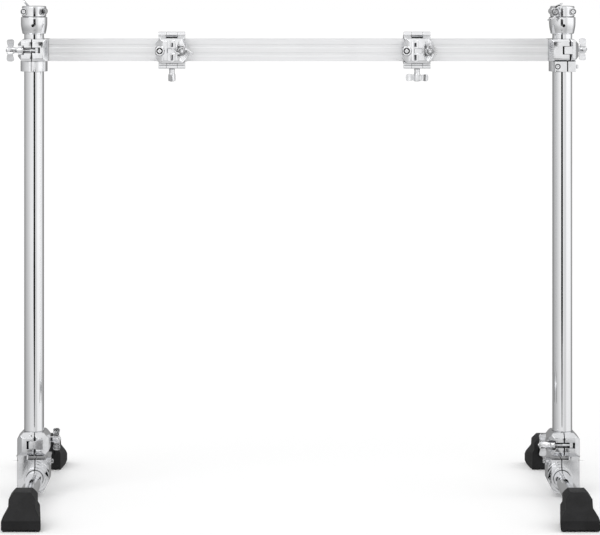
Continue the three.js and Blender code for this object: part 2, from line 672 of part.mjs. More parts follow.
for (const [name, x] of Object.entries(clampSpots)) {
  const clamp = railClampAssembly(name);
  clamp.position.set(x, 0, railHeight);
  rack.add(clamp);
}

export default rack;
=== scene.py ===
# Looks of a straight drum rack frame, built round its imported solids. Pieces are drawn in millimetres and placed
# in metres. X runs along the rail, -Y is the front, and the floor is at zero.
import math

import bmesh
import bpy
from mathutils import Matrix, Vector


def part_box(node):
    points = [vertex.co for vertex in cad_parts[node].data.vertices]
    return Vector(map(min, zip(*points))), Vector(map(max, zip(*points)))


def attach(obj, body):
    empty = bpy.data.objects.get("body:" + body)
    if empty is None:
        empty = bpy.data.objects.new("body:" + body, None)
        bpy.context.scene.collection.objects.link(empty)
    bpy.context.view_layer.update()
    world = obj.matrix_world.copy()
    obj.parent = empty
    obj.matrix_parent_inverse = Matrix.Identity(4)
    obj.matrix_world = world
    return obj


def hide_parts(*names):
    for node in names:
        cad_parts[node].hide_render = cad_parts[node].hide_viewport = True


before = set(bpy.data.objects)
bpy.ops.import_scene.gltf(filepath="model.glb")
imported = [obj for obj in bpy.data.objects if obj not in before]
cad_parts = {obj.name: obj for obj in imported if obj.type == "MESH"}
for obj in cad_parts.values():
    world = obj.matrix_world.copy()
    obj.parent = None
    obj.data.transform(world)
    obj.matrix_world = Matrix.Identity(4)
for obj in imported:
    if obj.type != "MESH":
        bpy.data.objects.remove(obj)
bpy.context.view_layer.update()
scene = bpy.context.scene
scene.view_settings.view_transform = "Standard"


# Camera: a level view from the front, a little left of the middle. The frame is moved down and to the right,
# as a shift lens does, so that the posts stay upright.
PHOTO_WIDTH = 600
PHOTO_HEIGHT = 535
AXIS_PIXEL = (261, -48)
FOCAL_PIXELS = 2495
CAMERA_SPOT = (-0.0715, -4.8, 1.045)
SENSOR_MM = 36

camera_data = bpy.data.cameras.new("camera")
camera_data.sensor_width = SENSOR_MM
camera_data.lens = FOCAL_PIXELS / PHOTO_WIDTH * SENSOR_MM
camera_data.shift_x = (PHOTO_WIDTH / 2 - AXIS_PIXEL[0]) / PHOTO_WIDTH
camera_data.shift_y = (AXIS_PIXEL[1] - PHOTO_HEIGHT / 2) / PHOTO_WIDTH
camera_data.clip_end = 200
camera = bpy.data.objects.new("camera", camera_data)
camera.location = CAMERA_SPOT
camera.rotation_euler = (math.pi / 2, 0, 0)
scene.collection.objects.link(camera)
scene.camera = camera


# Studio: a white floor under a white sky. Chrome sees a panorama of white sheets with grey gaps between them,
# and two narrow black flags in front of each post, which no camera, lamp or dull surface sees.
def node(tree, kind, settings=None, **inputs):
    """A new node with its settings, and its inputs set to values or linked to other nodes' outputs."""
    made = tree.nodes.new(kind)
    for key, value in (settings or {}).items():
        setattr(made, key, value)
    for key, value in inputs.items():
        spot = int(key[1:]) if key[0] == "i" and key[1:].isdigit() else key.replace("_", " ")
        if isinstance(value, bpy.types.NodeSocket):
            tree.links.new(value, made.inputs[spot])
        else:
            made.inputs[spot].default_value = value
    return made


def grey(value, alpha=1.0):
    return (value, value, value, alpha)


def mix(tree, factor, first, second, blend="MIX"):
    """The colour that a mix of two colours gives."""
    made = node(tree, "ShaderNodeMix", {"data_type": "RGBA", "blend_type": blend}, i0=factor, i6=first, i7=second)
    return made.outputs[2]


def remap(tree, value, low=0.0, high=1.0, to_low=0.0, to_high=1.0):
    return node(tree, "ShaderNodeMapRange", i0=value, i1=low, i2=high, i3=to_low, i4=to_high).outputs[0]


def blank_material(name):
    """A new material and its empty node tree."""
    made = bpy.data.materials.new(name)
    made.use_nodes = True
    made.node_tree.nodes.clear()
    return made, made.node_tree


def ramp(tree, factor, stops):
    """A colour ramp of grey stops, each a place from 0 to 1 and a brightness."""
    made = node(tree, "ShaderNodeValToRGB", i0=factor)
    elements = made.color_ramp.elements
    while len(elements) > 1:
        elements.remove(elements[-1])
    elements[0].position, elements[0].color = stops[0][0], grey(stops[0][1])
    for place, value in stops[1:]:
        elements.new(place).color = grey(value)
    return made.outputs["Color"]


# What chrome mirrors, by the heading of the ray: 0 and 1 are towards the front, 0.5 is behind, 0.75 is to the right.
# It is dimmer where the ray runs down to the floor near the rack, and grey where it runs steeply down: painted shade on
# the floor round the rack, which the floor shows in reflections.
surround = bpy.data.node_groups.new("surround", "ShaderNodeTree")
surround.interface.new_socket("Direction", in_out="INPUT", socket_type="NodeSocketVector")
surround.interface.new_socket("Color", in_out="OUTPUT", socket_type="NodeSocketColor")
inlet, outlet = node(surround, "NodeGroupInput"), node(surround, "NodeGroupOutput")
heading = node(surround, "ShaderNodeSeparateXYZ", i0=inlet.outputs[0])
turn = node(surround, "ShaderNodeMath", {"operation": "ARCTAN2"}, i0=heading.outputs["X"], i1=heading.outputs["Y"])
sheets = ramp(surround, remap(surround, turn.outputs[0], -math.pi, math.pi), [
    (0.0, 1.0), (0.033, 1.03), (0.083, 1.0), (0.167, 0.78), (0.278, 0.57), (0.342, 0.42), (0.375, 0.3),
    (0.5, 0.35), (0.556, 0.35), (0.631, 0.27), (0.664, 0.5), (0.694, 0.8), (0.73, 1.16), (0.875, 1.16),
    (0.894, 0.95), (0.922, 0.8), (0.958, 0.9), (1.0, 1.0),
])
falling = node(surround, "ShaderNodeMath", {"operation": "MULTIPLY_ADD"}, i0=heading.outputs["Z"], i1=0.5, i2=0.5)
painted_floor_shade = ramp(surround, falling.outputs[0], [(0.0, 0.55), (0.3, 0.6), (0.37, 0.74), (0.44, 0.93), (0.485, 1.0)])
dimmed = mix(surround, 1.0, sheets, painted_floor_shade, "MULTIPLY")
# Painted shade: the grey that steep downward rays blend to, in place of the lit white floor.
GROUND_BAND, PAINTED_GROUND_SHADE = (-0.35, -0.85), 0.7
DOME_BAND = (0.45, 0.9)
ground = mix(surround, remap(surround, heading.outputs["Z"], *GROUND_BAND), dimmed, grey(PAINTED_GROUND_SHADE))
dome = mix(surround, remap(surround, heading.outputs["Z"], *DOME_BAND), ground, grey(1.0))
surround.links.new(dome, outlet.inputs[0])

SKY_LEVEL = 0.82
sky = bpy.data.worlds.new("studio")
scene.world = sky
sky.use_nodes = True
tree = sky.node_tree
tree.nodes.clear()
mirrored = node(tree, "ShaderNodeGroup", {"node_tree": surround},
                i0=node(tree, "ShaderNodeTexCoord").outputs["Generated"])
rays = node(tree, "ShaderNodeLightPath")
plain = mix(tree, rays.outputs["Is Glossy Ray"], grey(SKY_LEVEL), mirrored.outputs[0])
seen = mix(tree, rays.outputs["Is Camera Ray"], plain, grey(1.0))
node(tree, "ShaderNodeOutputWorld", i0=node(tree, "ShaderNodeBackground", i0=seen).outputs[0])

FLOOR_HALF = 40
floor_mesh = bpy.data.meshes.new("floor")
floor_mesh.from_pydata([(x, y, 0) for x, y in ((-1, -1), (1, -1), (1, 1), (-1, 1))], [], [(0, 1, 2, 3)])
floor_mesh.transform(Matrix.Scale(FLOOR_HALF, 4))
floor = bpy.data.objects.new("floor", floor_mesh)
scene.collection.objects.link(floor)
floor_white, tree = blank_material("floor_white")
matt = node(tree, "ShaderNodeBsdfDiffuse", i0=grey(1.0))
# To glossy rays the floor glows with the surround in place of its own white: a painted reflection, carrying the painted
# shade near the rack.
travel = node(tree, "ShaderNodeVectorMath", {"operation": "SCALE"},
              i0=node(tree, "ShaderNodeNewGeometry").outputs["Incoming"], Scale=-1.0)
mirrored = node(tree, "ShaderNodeGroup", {"node_tree": surround}, i0=travel.outputs[0])
glow = node(tree, "ShaderNodeEmission", i0=mirrored.outputs[0])
rays = node(tree, "ShaderNodeLightPath")
both = node(tree, "ShaderNodeMixShader", i0=rays.outputs["Is Glossy Ray"], i1=matt.outputs[0], i2=glow.outputs[0])
node(tree, "ShaderNodeOutputMaterial", i0=both.outputs[0])
floor_mesh.materials.append(floor_white)

SUNS = [((-0.5, -0.75, 1.0), 0.62), ((0.7, -0.2, 1.0), 0.25)]
SUN_ANGLE = math.radians(35)
for number, (spot, strength) in enumerate(SUNS):
    sun_data = bpy.data.lights.new(f"sheet_light_{number}", "SUN")
    sun_data.energy = strength
    sun_data.angle = SUN_ANGLE
    sun = bpy.data.objects.new(f"sheet_light_{number}", sun_data)
    sun.rotation_euler = Vector(spot).to_track_quat("Z", "Y").to_euler()
    scene.collection.objects.link(sun)

FLAG_AHEAD = 0.2
FLAG_HALF = 0.036
FLAG_LEANS = {-1: 0.03, 1: -0.034}
FLAG_SPANS = ((0.1, 0.34, 0.81), (0.863, 0.864, 0.934))
FLAG_TAPER = 0.3
POST_X = 0.508
FLAG_GREY = 0.015
flag_black, tree = blank_material("flag_black")
black = node(tree, "ShaderNodeEmission", i0=grey(FLAG_GREY))
node(tree, "ShaderNodeOutputMaterial", i0=black.outputs[0])
for side in (-1, 1):
    for low, full, high in FLAG_SPANS:
        # The tall flag narrows towards its lower end, so that the dark line fades out down the post
        thin = FLAG_HALF * FLAG_TAPER if full - low > FLAG_HALF else FLAG_HALF
        corners = ((-thin, low), (thin, low), (FLAG_HALF, full), (FLAG_HALF, high), (-FLAG_HALF, high),
                   (-FLAG_HALF, full))
        flag_mesh = bpy.data.meshes.new("flag")
        middle = side * POST_X + FLAG_LEANS[side]
        flag_mesh.from_pydata([(middle + x, -FLAG_AHEAD, z) for x, z in corners], [], [tuple(range(6))])
        flag_mesh.materials.append(flag_black)
        flag = bpy.data.objects.new("flag", flag_mesh)
        scene.collection.objects.link(flag)
        flag.visible_camera = False
        flag.visible_diffuse = False
        flag.visible_shadow = False


# Posts and their heads: a chromed steel tube of 38 mm with a cast cup pressed over its top end, and above that a
# split ring that grips the accessory tube's sleeve. Cup and ring are zinc castings, polished and chromed, and the
# sleeve between them is moulded nylon.
SIDES = {"left": (-1, 0.0), "right": (1, math.pi)}
MM = Matrix.Scale(0.001, 4)
POST_R = 19.05
POST_WALL = 1.8
SLIP = 0.3
OVERRUN = 2
ROUND = 64


def side_place(side):
    """Where one side's own frame stands: its post on the Z axis, its rail towards +X."""
    sign, turned_by = SIDES[side]
    return Matrix.Translation((sign * POST_X * 1000, 0, 0)) @ Matrix.Rotation(turned_by, 4, "Z")


def drawn(verts, faces):
    """A loose object of these points and faces, with every face turned outwards."""
    shape = bmesh.new()
    points = [shape.verts.new(v) for v in verts]
    for face in faces:
        shape.faces.new([points[i] for i in face])
    bmesh.ops.recalc_face_normals(shape, faces=shape.faces)
    mesh = bpy.data.meshes.new("shape")
    shape.to_mesh(mesh)
    shape.free()
    made = bpy.data.objects.new("shape", mesh)
    scene.collection.objects.link(made)
    return made


def lathe(outline, sides=ROUND):
    """A turned shape about Z from a closed outline of (radius, height) points."""
    count = len(outline)
    verts = []
    for i in range(sides):
        turned_by = 2 * math.pi * i / sides
        verts += [(r * math.cos(turned_by), r * math.sin(turned_by), z) for r, z in outline]
    faces = []
    for i in range(sides):
        a, b = i * count, (i + 1) % sides * count
        faces += [(a + k, b + k, b + (k + 1) % count, a + (k + 1) % count) for k in range(count)]
    return drawn(verts, faces)


def tube_outline(outer, inner, low, high, edge):
    """A tube's wall with its four rims broken by a small chamfer."""
    return [(inner, low + edge), (inner + edge, low), (outer - edge, low), (outer, low + edge),
            (outer, high - edge), (outer - edge, high), (inner + edge, high), (inner, high - edge)]


def moved(shape, *steps):
    for step in steps:
        shape.data.transform(step)
    return shape


def shift(x, y, z):
    return Matrix.Translation((x, y, z))


def spin(degrees, axis):
    return Matrix.Rotation(math.radians(degrees), 4, axis)


def seat(shape, name, body, finish, place, edge=0.0, sharp=36):
    """Puts a finished shape in its place, with softened edges, and has it ride and stand for its node."""
    moved(shape, MM @ place)
    shape.name = shape.data.name = f"{name}_finished"
    shape.data.polygons.foreach_set("use_smooth", [True] * len(shape.data.polygons))
    shape.data.materials.clear()
    shape.data.materials.append(finish)
    if edge:
        soft = shape.modifiers.new("soft_edges", "BEVEL")
        soft.width = edge * 0.001
        soft.segments = 3
        soft.limit_method = "ANGLE"
        soft.angle_limit = math.radians(sharp)
        soft.use_clamp_overlap = False
        soft.harden_normals = True
    else:
        shape.data.set_sharp_from_angle(angle=math.radians(sharp))
    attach(shape, body)
    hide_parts(name)
    return shape


def handling_marks():
    """A group of nodes: faint scuffs stretched along one direction, soft smudges, and a height for the scuffs."""
    tree = bpy.data.node_groups.new("handling_marks", "ShaderNodeTree")
    sockets = [("Place", "INPUT", "NodeSocketVector"), ("Grain", "INPUT", "NodeSocketFloat"),
               ("Smudge Size", "INPUT", "NodeSocketFloat"), ("Scuffs", "OUTPUT", "NodeSocketFloat"),
               ("Smudges", "OUTPUT", "NodeSocketFloat"), ("Height", "OUTPUT", "NodeSocketFloat")]
    for name, way, kind in sockets:
        tree.interface.new_socket(name, in_out=way, socket_type=kind)
    given = node(tree, "NodeGroupInput")
    result = node(tree, "NodeGroupOutput")
    scuff = node(tree, "ShaderNodeTexNoise", Vector=given.outputs["Place"], Scale=given.outputs["Grain"], Detail=5.0,
                 Roughness=0.65)
    smudge = node(tree, "ShaderNodeTexNoise", Vector=given.outputs["Place"], Scale=given.outputs["Smudge Size"],
                  Detail=3.0, Distortion=0.6)
    tree.links.new(remap(tree, scuff.outputs["Fac"], 0.48, 0.78), result.inputs["Scuffs"])
    tree.links.new(remap(tree, smudge.outputs["Fac"], 0.38, 0.72), result.inputs["Smudges"])
    tree.links.new(scuff.outputs["Fac"], result.inputs["Height"])
    return tree


marks_group = handling_marks()


# Painted shade in nooks: how far the occlusion looks for nearby surfaces, and how dark the colour goes in the tightest
# slots.
NOOK_PAINTED_SHADE_REACH = 0.006
NOOK_PAINTED_SHADE = 0.08


def metal(name, clean, dull, smooth, rough, stretch, grain, smudge_size, bump):
    """A plated or anodised finish: two tones and two roughnesses, spread by scuffs and smudges, and painted shade that
    darkens the colour in nooks, slots and seams.
    """
    made, tree = blank_material(name)
    place = node(tree, "ShaderNodeMapping", i0=node(tree, "ShaderNodeTexCoord").outputs["Object"], Scale=stretch)
    marks = node(tree, "ShaderNodeGroup", {"node_tree": marks_group}, i0=place.outputs[0], i1=grain, i2=smudge_size)
    shade = mix(tree, marks.outputs["Smudges"], clean, dull)
    both = node(tree, "ShaderNodeMath", {"operation": "MULTIPLY_ADD"}, i0=marks.outputs["Scuffs"], i1=0.6,
                i2=marks.outputs["Smudges"])
    gloss = remap(tree, both.outputs[0], 0.0, 1.6, smooth, rough)
    dent = node(tree, "ShaderNodeBump", i0=bump, i1=0.0002, Height=marks.outputs["Height"])
    # Painted shade: the colour darkens where nearby surfaces hem the point in, as in slots, seams and pockets.
    painted_nook_shade = node(tree, "ShaderNodeAmbientOcclusion", {"samples": 8}, Distance=NOOK_PAINTED_SHADE_REACH)
    shade = mix(tree, 1.0, shade, remap(tree, painted_nook_shade.outputs["AO"], 0.1, 0.7, NOOK_PAINTED_SHADE), "MULTIPLY")
    surface = node(tree, "ShaderNodeBsdfPrincipled", Metallic=1.0, Base_Color=shade, Roughness=gloss,
                   Normal=dent.outputs[0])
    node(tree, "ShaderNodeOutputMaterial", i0=surface.outputs[0])
    return made


tube_chrome = metal("tube_chrome", (0.86, 0.865, 0.88, 1), (0.8, 0.805, 0.82, 1), 0.04, 0.1, (1, 1, 0.12), 300, 22,
                    0.02)


AXES = {"x": (1, 2, 0), "y": (0, 2, 1), "z": (0, 1, 2)}


def prism(axis, outline, low, high):
    """A prism along an axis. Its outline lies in the other two axes, in X, Y, Z order."""
    first, second, along = AXES[axis]
    verts = []
    for level in (low, high):
        for a, b in outline:
            point = [0.0, 0.0, 0.0]
            point[first], point[second], point[along] = a, b, level
            verts.append(point)
    count = len(outline)
    faces = [list(range(count)), list(range(count, 2 * count))]
    faces += [(i, (i + 1) % count, count + (i + 1) % count, count + i) for i in range(count)]
    return drawn(verts, faces)


def arc(x, y, radius, start, end, steps):
    """Points on an arc, from start to end in degrees."""
    turns = [math.radians(start + (end - start) * i / steps) for i in range(steps + 1)]
    return [(x + radius * math.cos(t), y + radius * math.sin(t)) for t in turns]


def circle(radius, sides, at=(0, 0)):
    turns = [2 * math.pi * i / sides for i in range(sides)]
    return [(at[0] + radius * math.cos(t), at[1] + radius * math.sin(t)) for t in turns]


def rod(axis, radius, low, high, at=(0, 0), sides=48):
    return prism(axis, circle(radius, sides, at), low, high)


def block(x0, x1, y0, y1, z0, z1):
    return prism("z", [(x0, y0), (x1, y0), (x1, y1), (x0, y1)], z0, z1)


def rounded(outline, radius, steps=5):
    """The outline with each corner turned into an arc, smaller where its two edges are short."""
    outline = [corner for i, corner in enumerate(outline) if corner != outline[i - 1]]
    points = []
    for i, corner in enumerate(outline):
        here, back, ahead = Vector(corner), Vector(outline[i - 1]), Vector(outline[(i + 1) % len(outline)])
        to_back, to_ahead = back - here, ahead - here
        half = to_back.angle(to_ahead) / 2
        reach = min(radius / math.tan(half), 0.45 * to_back.length, 0.45 * to_ahead.length) if half < 1.5 else 0
        if reach < 0.05:
            points.append(corner)
            continue
        start, end = here + to_back.normalized() * reach, here + to_ahead.normalized() * reach
        for k in range(steps + 1):
            t = k / steps
            bend = start * (1 - t) ** 2 + here * 2 * t * (1 - t) + end * t ** 2
            points.append((bend.x, bend.y))
    return points


def combined(operation, shapes):
    """One object from several: the first with each of the others added, cut away or met."""
    base, *tools = shapes
    for tool in tools:
        step = base.modifiers.new("step", "BOOLEAN")
        step.operation = operation
        step.solver = "EXACT"
        step.object = tool
    bpy.context.view_layer.update()
    mesh = bpy.data.meshes.new_from_object(base.evaluated_get(bpy.context.evaluated_depsgraph_get()))
    for used in shapes:
        bpy.data.objects.remove(used)
    work = bmesh.new()
    work.from_mesh(mesh)
    bmesh.ops.remove_doubles(work, verts=work.verts, dist=0.02)
    bmesh.ops.dissolve_limit(work, angle_limit=math.radians(0.6), verts=work.verts, edges=work.edges)
    work.to_mesh(mesh)
    work.free()
    made = bpy.data.objects.new("shape", mesh)
    scene.collection.objects.link(made)
    return made


def join(*shapes):
    return combined("UNION", shapes)


def cut(*shapes):
    return combined("DIFFERENCE", shapes)


def meet(*shapes):
    return combined("INTERSECT", shapes)


WING = {"rod_r": 3.0, "flange_r": 7.5, "flange_lip": 1.6, "neck_r": 5.2, "hub_r": 6.6, "hub_lip": 2.0, "blade": 16.0,
        "half_span": 21.5, "waist": 3.0, "thick": 4.4, "tip_thick": 2.7, "bow": 36.0, "reach": 8.0, "steps": 18,
        "groove_in": 4.4, "groove_out": 6.1, "groove": 2.8, "groove_edge": 0.3, "groove_taper": 0.2, "hub_edge": 0.8,
        "mouth_edge": 0.4, "corner": 6.5}
THREAD_PITCH = 1.25
THREAD_DEPTH = 0.5
THREAD_LEAD = 0.6
KEY_SIDE = 7.0
KEY_HIGH = 4.0
KEY_CORNER = 0.7
KEY_DIMPLE = {"radius": 1.2, "depth": 0.7}
KEY_DOME = {"drop": 1.3, "rim_share": 1.5, "top_share": 1.02}


def wing_blades(neck):
    """Two bowed wings with round tips, cast in one with the hub, from their plan and their side view."""
    w = WING
    upper, lower = [], []
    for i in range(-w["steps"], w["steps"] + 1):
        along = i / w["steps"]
        middle = w["bow"] * along * (1 - abs(along)) ** 2
        half = (w["thick"] + (w["tip_thick"] - w["thick"]) * abs(along)) / 2
        upper.append((w["half_span"] * along, middle + half))
        lower.append((w["half_span"] * along, middle - half))
    span, high, waist = w["half_span"], neck + w["blade"], w["waist"]
    side = [(-span, neck), (-w["hub_r"], neck + waist), (w["hub_r"], neck + waist), (span, neck),
            (span, high), (w["hub_r"], high - waist), (-w["hub_r"], high - waist), (-span, high)]
    reach = w["reach"] + w["thick"] + OVERRUN
    return meet(prism("z", lower + upper[::-1], 0, high + OVERRUN),
                prism("y", rounded(side, w["corner"], 7), -reach, reach))


def wing_top(neck):
    return neck + WING["blade"] - WING["waist"] + WING["hub_lip"]


def wing_hub(inner_r, neck, flange_r):
    w = WING
    top, lip = wing_top(neck), w["flange_lip"]
    rim, floor, taper = top - w["groove_edge"], top - w["groove"], w["groove_taper"]
    flange = arc(flange_r - lip / 2, lip / 2, lip / 2, -90, 90, 6)
    return lathe([(inner_r, 0), *flange, (w["neck_r"], lip + flange_r - w["neck_r"]), (w["neck_r"], neck),
                  (w["hub_r"], neck + w["hub_lip"]), (w["hub_r"], top - w["hub_edge"]), (w["groove_out"], rim),
                  (w["groove_out"] - taper, floor), (w["groove_in"] + taper, floor), (w["groove_in"], rim),
                  (w["groove_in"] - w["mouth_edge"], top), (inner_r, top)], 48)


def wing_nut(neck):
    fit_r = WING["rod_r"] + SLIP
    return cut(join(wing_blades(neck), wing_hub(fit_r, neck, WING["flange_r"])),
               rod("z", fit_r, -OVERRUN, neck + 2 * WING["blade"]))


def threaded(radius, low, high, plain=0.0):
    """A rod along Z with a screw thread from its low end up to a plain shank under its high end."""
    sides, rows = 20, 5
    start, end = low + THREAD_LEAD, high - plain
    count = round((end - start) / THREAD_PITCH * rows)
    verts = [(x, y, low) for x, y in circle(radius - THREAD_LEAD, sides)]
    for row in range(count + 1):
        z = start + (end - start) * row / count
        for i in range(sides):
            wave = abs(((z / THREAD_PITCH - i / sides) % 1) * 2 - 1)
            r = radius - THREAD_DEPTH * wave
            verts.append((r * math.cos(2 * math.pi * i / sides), r * math.sin(2 * math.pi * i / sides), z))
    for z in (end + 0.01, high):
        verts += [(x, y, z) for x, y in circle(radius, sides)]
    rings = len(verts) // sides
    faces = [list(range(sides)), list(range(len(verts) - sides, len(verts)))]
    for ring in range(rings - 1):
        for i in range(sides):
            a, b = ring * sides + i, ring * sides + (i + 1) % sides
            faces.append((a, b, b + sides, a + sides))
    return drawn(verts, faces)


def wing_screw(rod_r, end, neck, flange_r):
    core = rod("z", WING["neck_r"] - SLIP, 0, wing_top(neck) - SLIP)
    return join(wing_blades(neck), wing_hub(rod_r, neck, flange_r), core, threaded(rod_r, end, OVERRUN))


def key_head(low, high):
    """A square head with its corners turned off and a dimple in its end."""
    half = KEY_SIDE / 2
    rim, top = half * KEY_DOME["rim_share"], half * KEY_DOME["top_share"]
    square = rounded([(-half, -half), (half, -half), (half, half), (-half, half)], KEY_CORNER, 3)
    dome = lathe([(0.001, low), (rim, low), (rim, high - KEY_DOME["drop"]), (top, high), (0.001, high)], 48)
    dimple = rod("z", KEY_DIMPLE["radius"], high - KEY_DIMPLE["depth"], high + OVERRUN, sides=24)
    return cut(meet(prism("z", square, low, high), dome), dimple)


def key_bolt(rod_r, end):
    return join(key_head(0, KEY_HIGH), threaded(rod_r, end, 1))


HEAD = {"cup_height": 32.3, "cup_top_r": 25.4, "cup_bottom_r": 20.6, "shoulder_r": 22.8, "shoulder": 3.2, "lip": 4.4,
        "sight_r": 2.9, "sight_drop": 16.0, "sleeve_r": 14.2, "sleeve_bore_r": 12.9, "sleeve_length": 66.0,
        "ring_height": 20.8, "ring_r": 23.4, "boss_x": 18.2, "boss_r": 6.6, "boss_reach": 21.2, "recess_r": 5.3,
        "recess": 4.2, "slit": 2.4, "bolt_r": 2.8, "wing_neck": 8.0, "cup_rim": 1.2, "ring_edge": 1.3,
        "sleeve_edge": 0.6, "foot_edge": 0.8, "neck_edge": 0.4, "mouth_edge": 0.5}
POST_EDGE = 0.5
RACK_HEIGHT = 941
RING_BOTTOM = RACK_HEIGHT - HEAD["ring_height"]
CUP_TOP = RING_BOTTOM - SLIP
POST_TOP = CUP_TOP - HEAD["lip"] - SLIP


def post_cup():
    """The cup bulges from its shoulder to its rim, and a sight hole in it shows the sleeve's end."""
    h = HEAD
    bottom, bulge = CUP_TOP - h["cup_height"], []
    for i in range(1, 13):
        t = i / 12
        rise = h["shoulder"] + (h["cup_height"] * 2 / 3 - h["shoulder"]) * t
        bulge.append((h["shoulder_r"] + (h["cup_top_r"] - h["shoulder_r"]) * math.sin(t * math.pi / 2), bottom + rise))
    shoulder = [(h["cup_bottom_r"] + (h["shoulder_r"] - h["cup_bottom_r"]) * math.sin(a),
                 bottom + h["shoulder"] * (1 - math.cos(a))) for a in (math.pi / 12 * i for i in range(7))]
    rim = arc(h["cup_top_r"] - h["cup_rim"], CUP_TOP - h["cup_rim"], h["cup_rim"], 0, 90, 5)
    fit_r, neck_r = POST_R + SLIP, h["sleeve_r"] + SLIP
    body = lathe([(fit_r, bottom), *shoulder, *bulge, *rim, (neck_r, CUP_TOP), (neck_r, POST_TOP + SLIP),
                  (fit_r, POST_TOP + SLIP)], 96)
    reach = h["cup_top_r"] + OVERRUN
    return cut(body, rod("y", h["sight_r"], -reach, reach, (0, CUP_TOP - h["sight_drop"])))


def accessory_sleeve():
    h = HEAD
    inside_r, top = POST_R - POST_WALL - SLIP, RACK_HEIGHT - SLIP
    low, neck_bottom = RACK_HEIGHT - h["sleeve_length"], POST_TOP - SLIP
    bore_r, sleeve_r, edge, foot = h["sleeve_bore_r"], h["sleeve_r"], h["sleeve_edge"], h["foot_edge"]
    return lathe([(bore_r, low + foot), (bore_r + foot, low), (inside_r - edge, low), (inside_r, low + edge),
                  (inside_r, neck_bottom), (sleeve_r, neck_bottom), (sleeve_r, top - h["neck_edge"]),
                  (sleeve_r - h["neck_edge"], top), (bore_r + h["mouth_edge"], top),
                  (bore_r, top - h["mouth_edge"])], 72)


def ring_clamp():
    h = HEAD
    middle, through, floor_y = h["ring_height"] / 2, h["boss_reach"] + OVERRUN, h["boss_reach"] - h["recess"]
    body = lathe(tube_outline(h["ring_r"], h["sleeve_r"] + SLIP, 0, h["ring_height"], h["ring_edge"]), 96)
    tools = []
    for x in (-h["boss_x"], h["boss_x"]):
        body = join(body, rod("y", h["boss_r"], -h["boss_reach"], h["boss_reach"], (x, middle), 56))
        tools.append(rod("y", WING["rod_r"] + SLIP, -through, through, (x, middle)))
        tools.append(rod("y", h["recess_r"], floor_y, through, (x, middle)))
        tools.append(rod("y", h["recess_r"], -through, -floor_y, (x, middle)))
    tools.append(rod("z", h["sleeve_r"] + SLIP, -OVERRUN, h["ring_height"] + OVERRUN, sides=96))
    tools.append(block(-h["boss_x"] - h["ring_r"], -h["sleeve_bore_r"], -h["slit"] / 2, h["slit"] / 2, -OVERRUN,
                       h["ring_height"] + OVERRUN))
    return cut(body, *tools)


def ring_wing_screw():
    end = -2 * HEAD["boss_reach"] - SLIP + HEAD["recess"]
    tip = moved(key_head(0, KEY_HIGH - SLIP), spin(180, "X"), shift(0, 0, end))
    return join(wing_screw(WING["rod_r"], end - SLIP, HEAD["wing_neck"], WING["flange_r"]), tip)


def plastic(name, colour, worn, rough, grain, bump, sheen=0.5):
    """A moulded finish: a fine grain in the surface, and patches where it is paler from dust and use."""
    made, tree = blank_material(name)
    place = node(tree, "ShaderNodeTexCoord").outputs["Object"]
    marks = node(tree, "ShaderNodeGroup", {"node_tree": marks_group}, i0=place, i1=grain, i2=35.0)
    shade = mix(tree, marks.outputs["Smudges"], colour, worn)
    gloss = remap(tree, marks.outputs["Scuffs"], to_low=rough, to_high=rough + 0.2)
    pores = node(tree, "ShaderNodeTexVoronoi", Vector=place, Scale=grain)
    height = node(tree, "ShaderNodeMath", {"operation": "ADD"}, i0=pores.outputs["Distance"],
                  i1=marks.outputs["Height"])
    dent = node(tree, "ShaderNodeBump", i0=bump, i1=0.0004, Height=height.outputs[0])
    surface = node(tree, "ShaderNodeBsdfPrincipled", Base_Color=shade, Roughness=gloss, Normal=dent.outputs[0],
                   Specular_IOR_Level=sheen)
    node(tree, "ShaderNodeOutputMaterial", i0=surface.outputs[0])
    return made


def post_tube(low, high):
    """The tube, with the sight hole that lines up with the cup's."""
    tube = lathe(tube_outline(POST_R, POST_R - POST_WALL, low, high, POST_EDGE), 96)
    return cut(tube, rod("y", HEAD["sight_r"], -POST_R - OVERRUN, POST_R + OVERRUN, (0, CUP_TOP - HEAD["sight_drop"]),
                         32))


for side in SIDES:
    low, high = (corner.z * 1000 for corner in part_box(f"{side}_post"))
    seat(post_tube(low, high), f"{side}_post", f"{side}_post", tube_chrome, side_place(side), sharp=40)

cast_chrome = metal("cast_chrome", (0.86, 0.865, 0.88, 1), (0.79, 0.795, 0.81, 1), 0.1, 0.2, (1, 1, 1), 160, 45, 0.12)
screw_chrome = metal("screw_chrome", (0.85, 0.855, 0.87, 1), (0.74, 0.745, 0.76, 1), 0.12, 0.24, (1, 1, 1), 400, 90,
                     0.06)
nylon = plastic("moulded_nylon", (0.028, 0.028, 0.03, 1), (0.045, 0.045, 0.048, 1), 0.42, 700, 0.1)
WING_EDGE = 0.5
KEY_EDGE = 0.15
TUBE_SHARP = 32
WING_TURNS = {"left": 75.6, "right": 50.4, "left_clamp": 84.6, "right_clamp": 5.7}

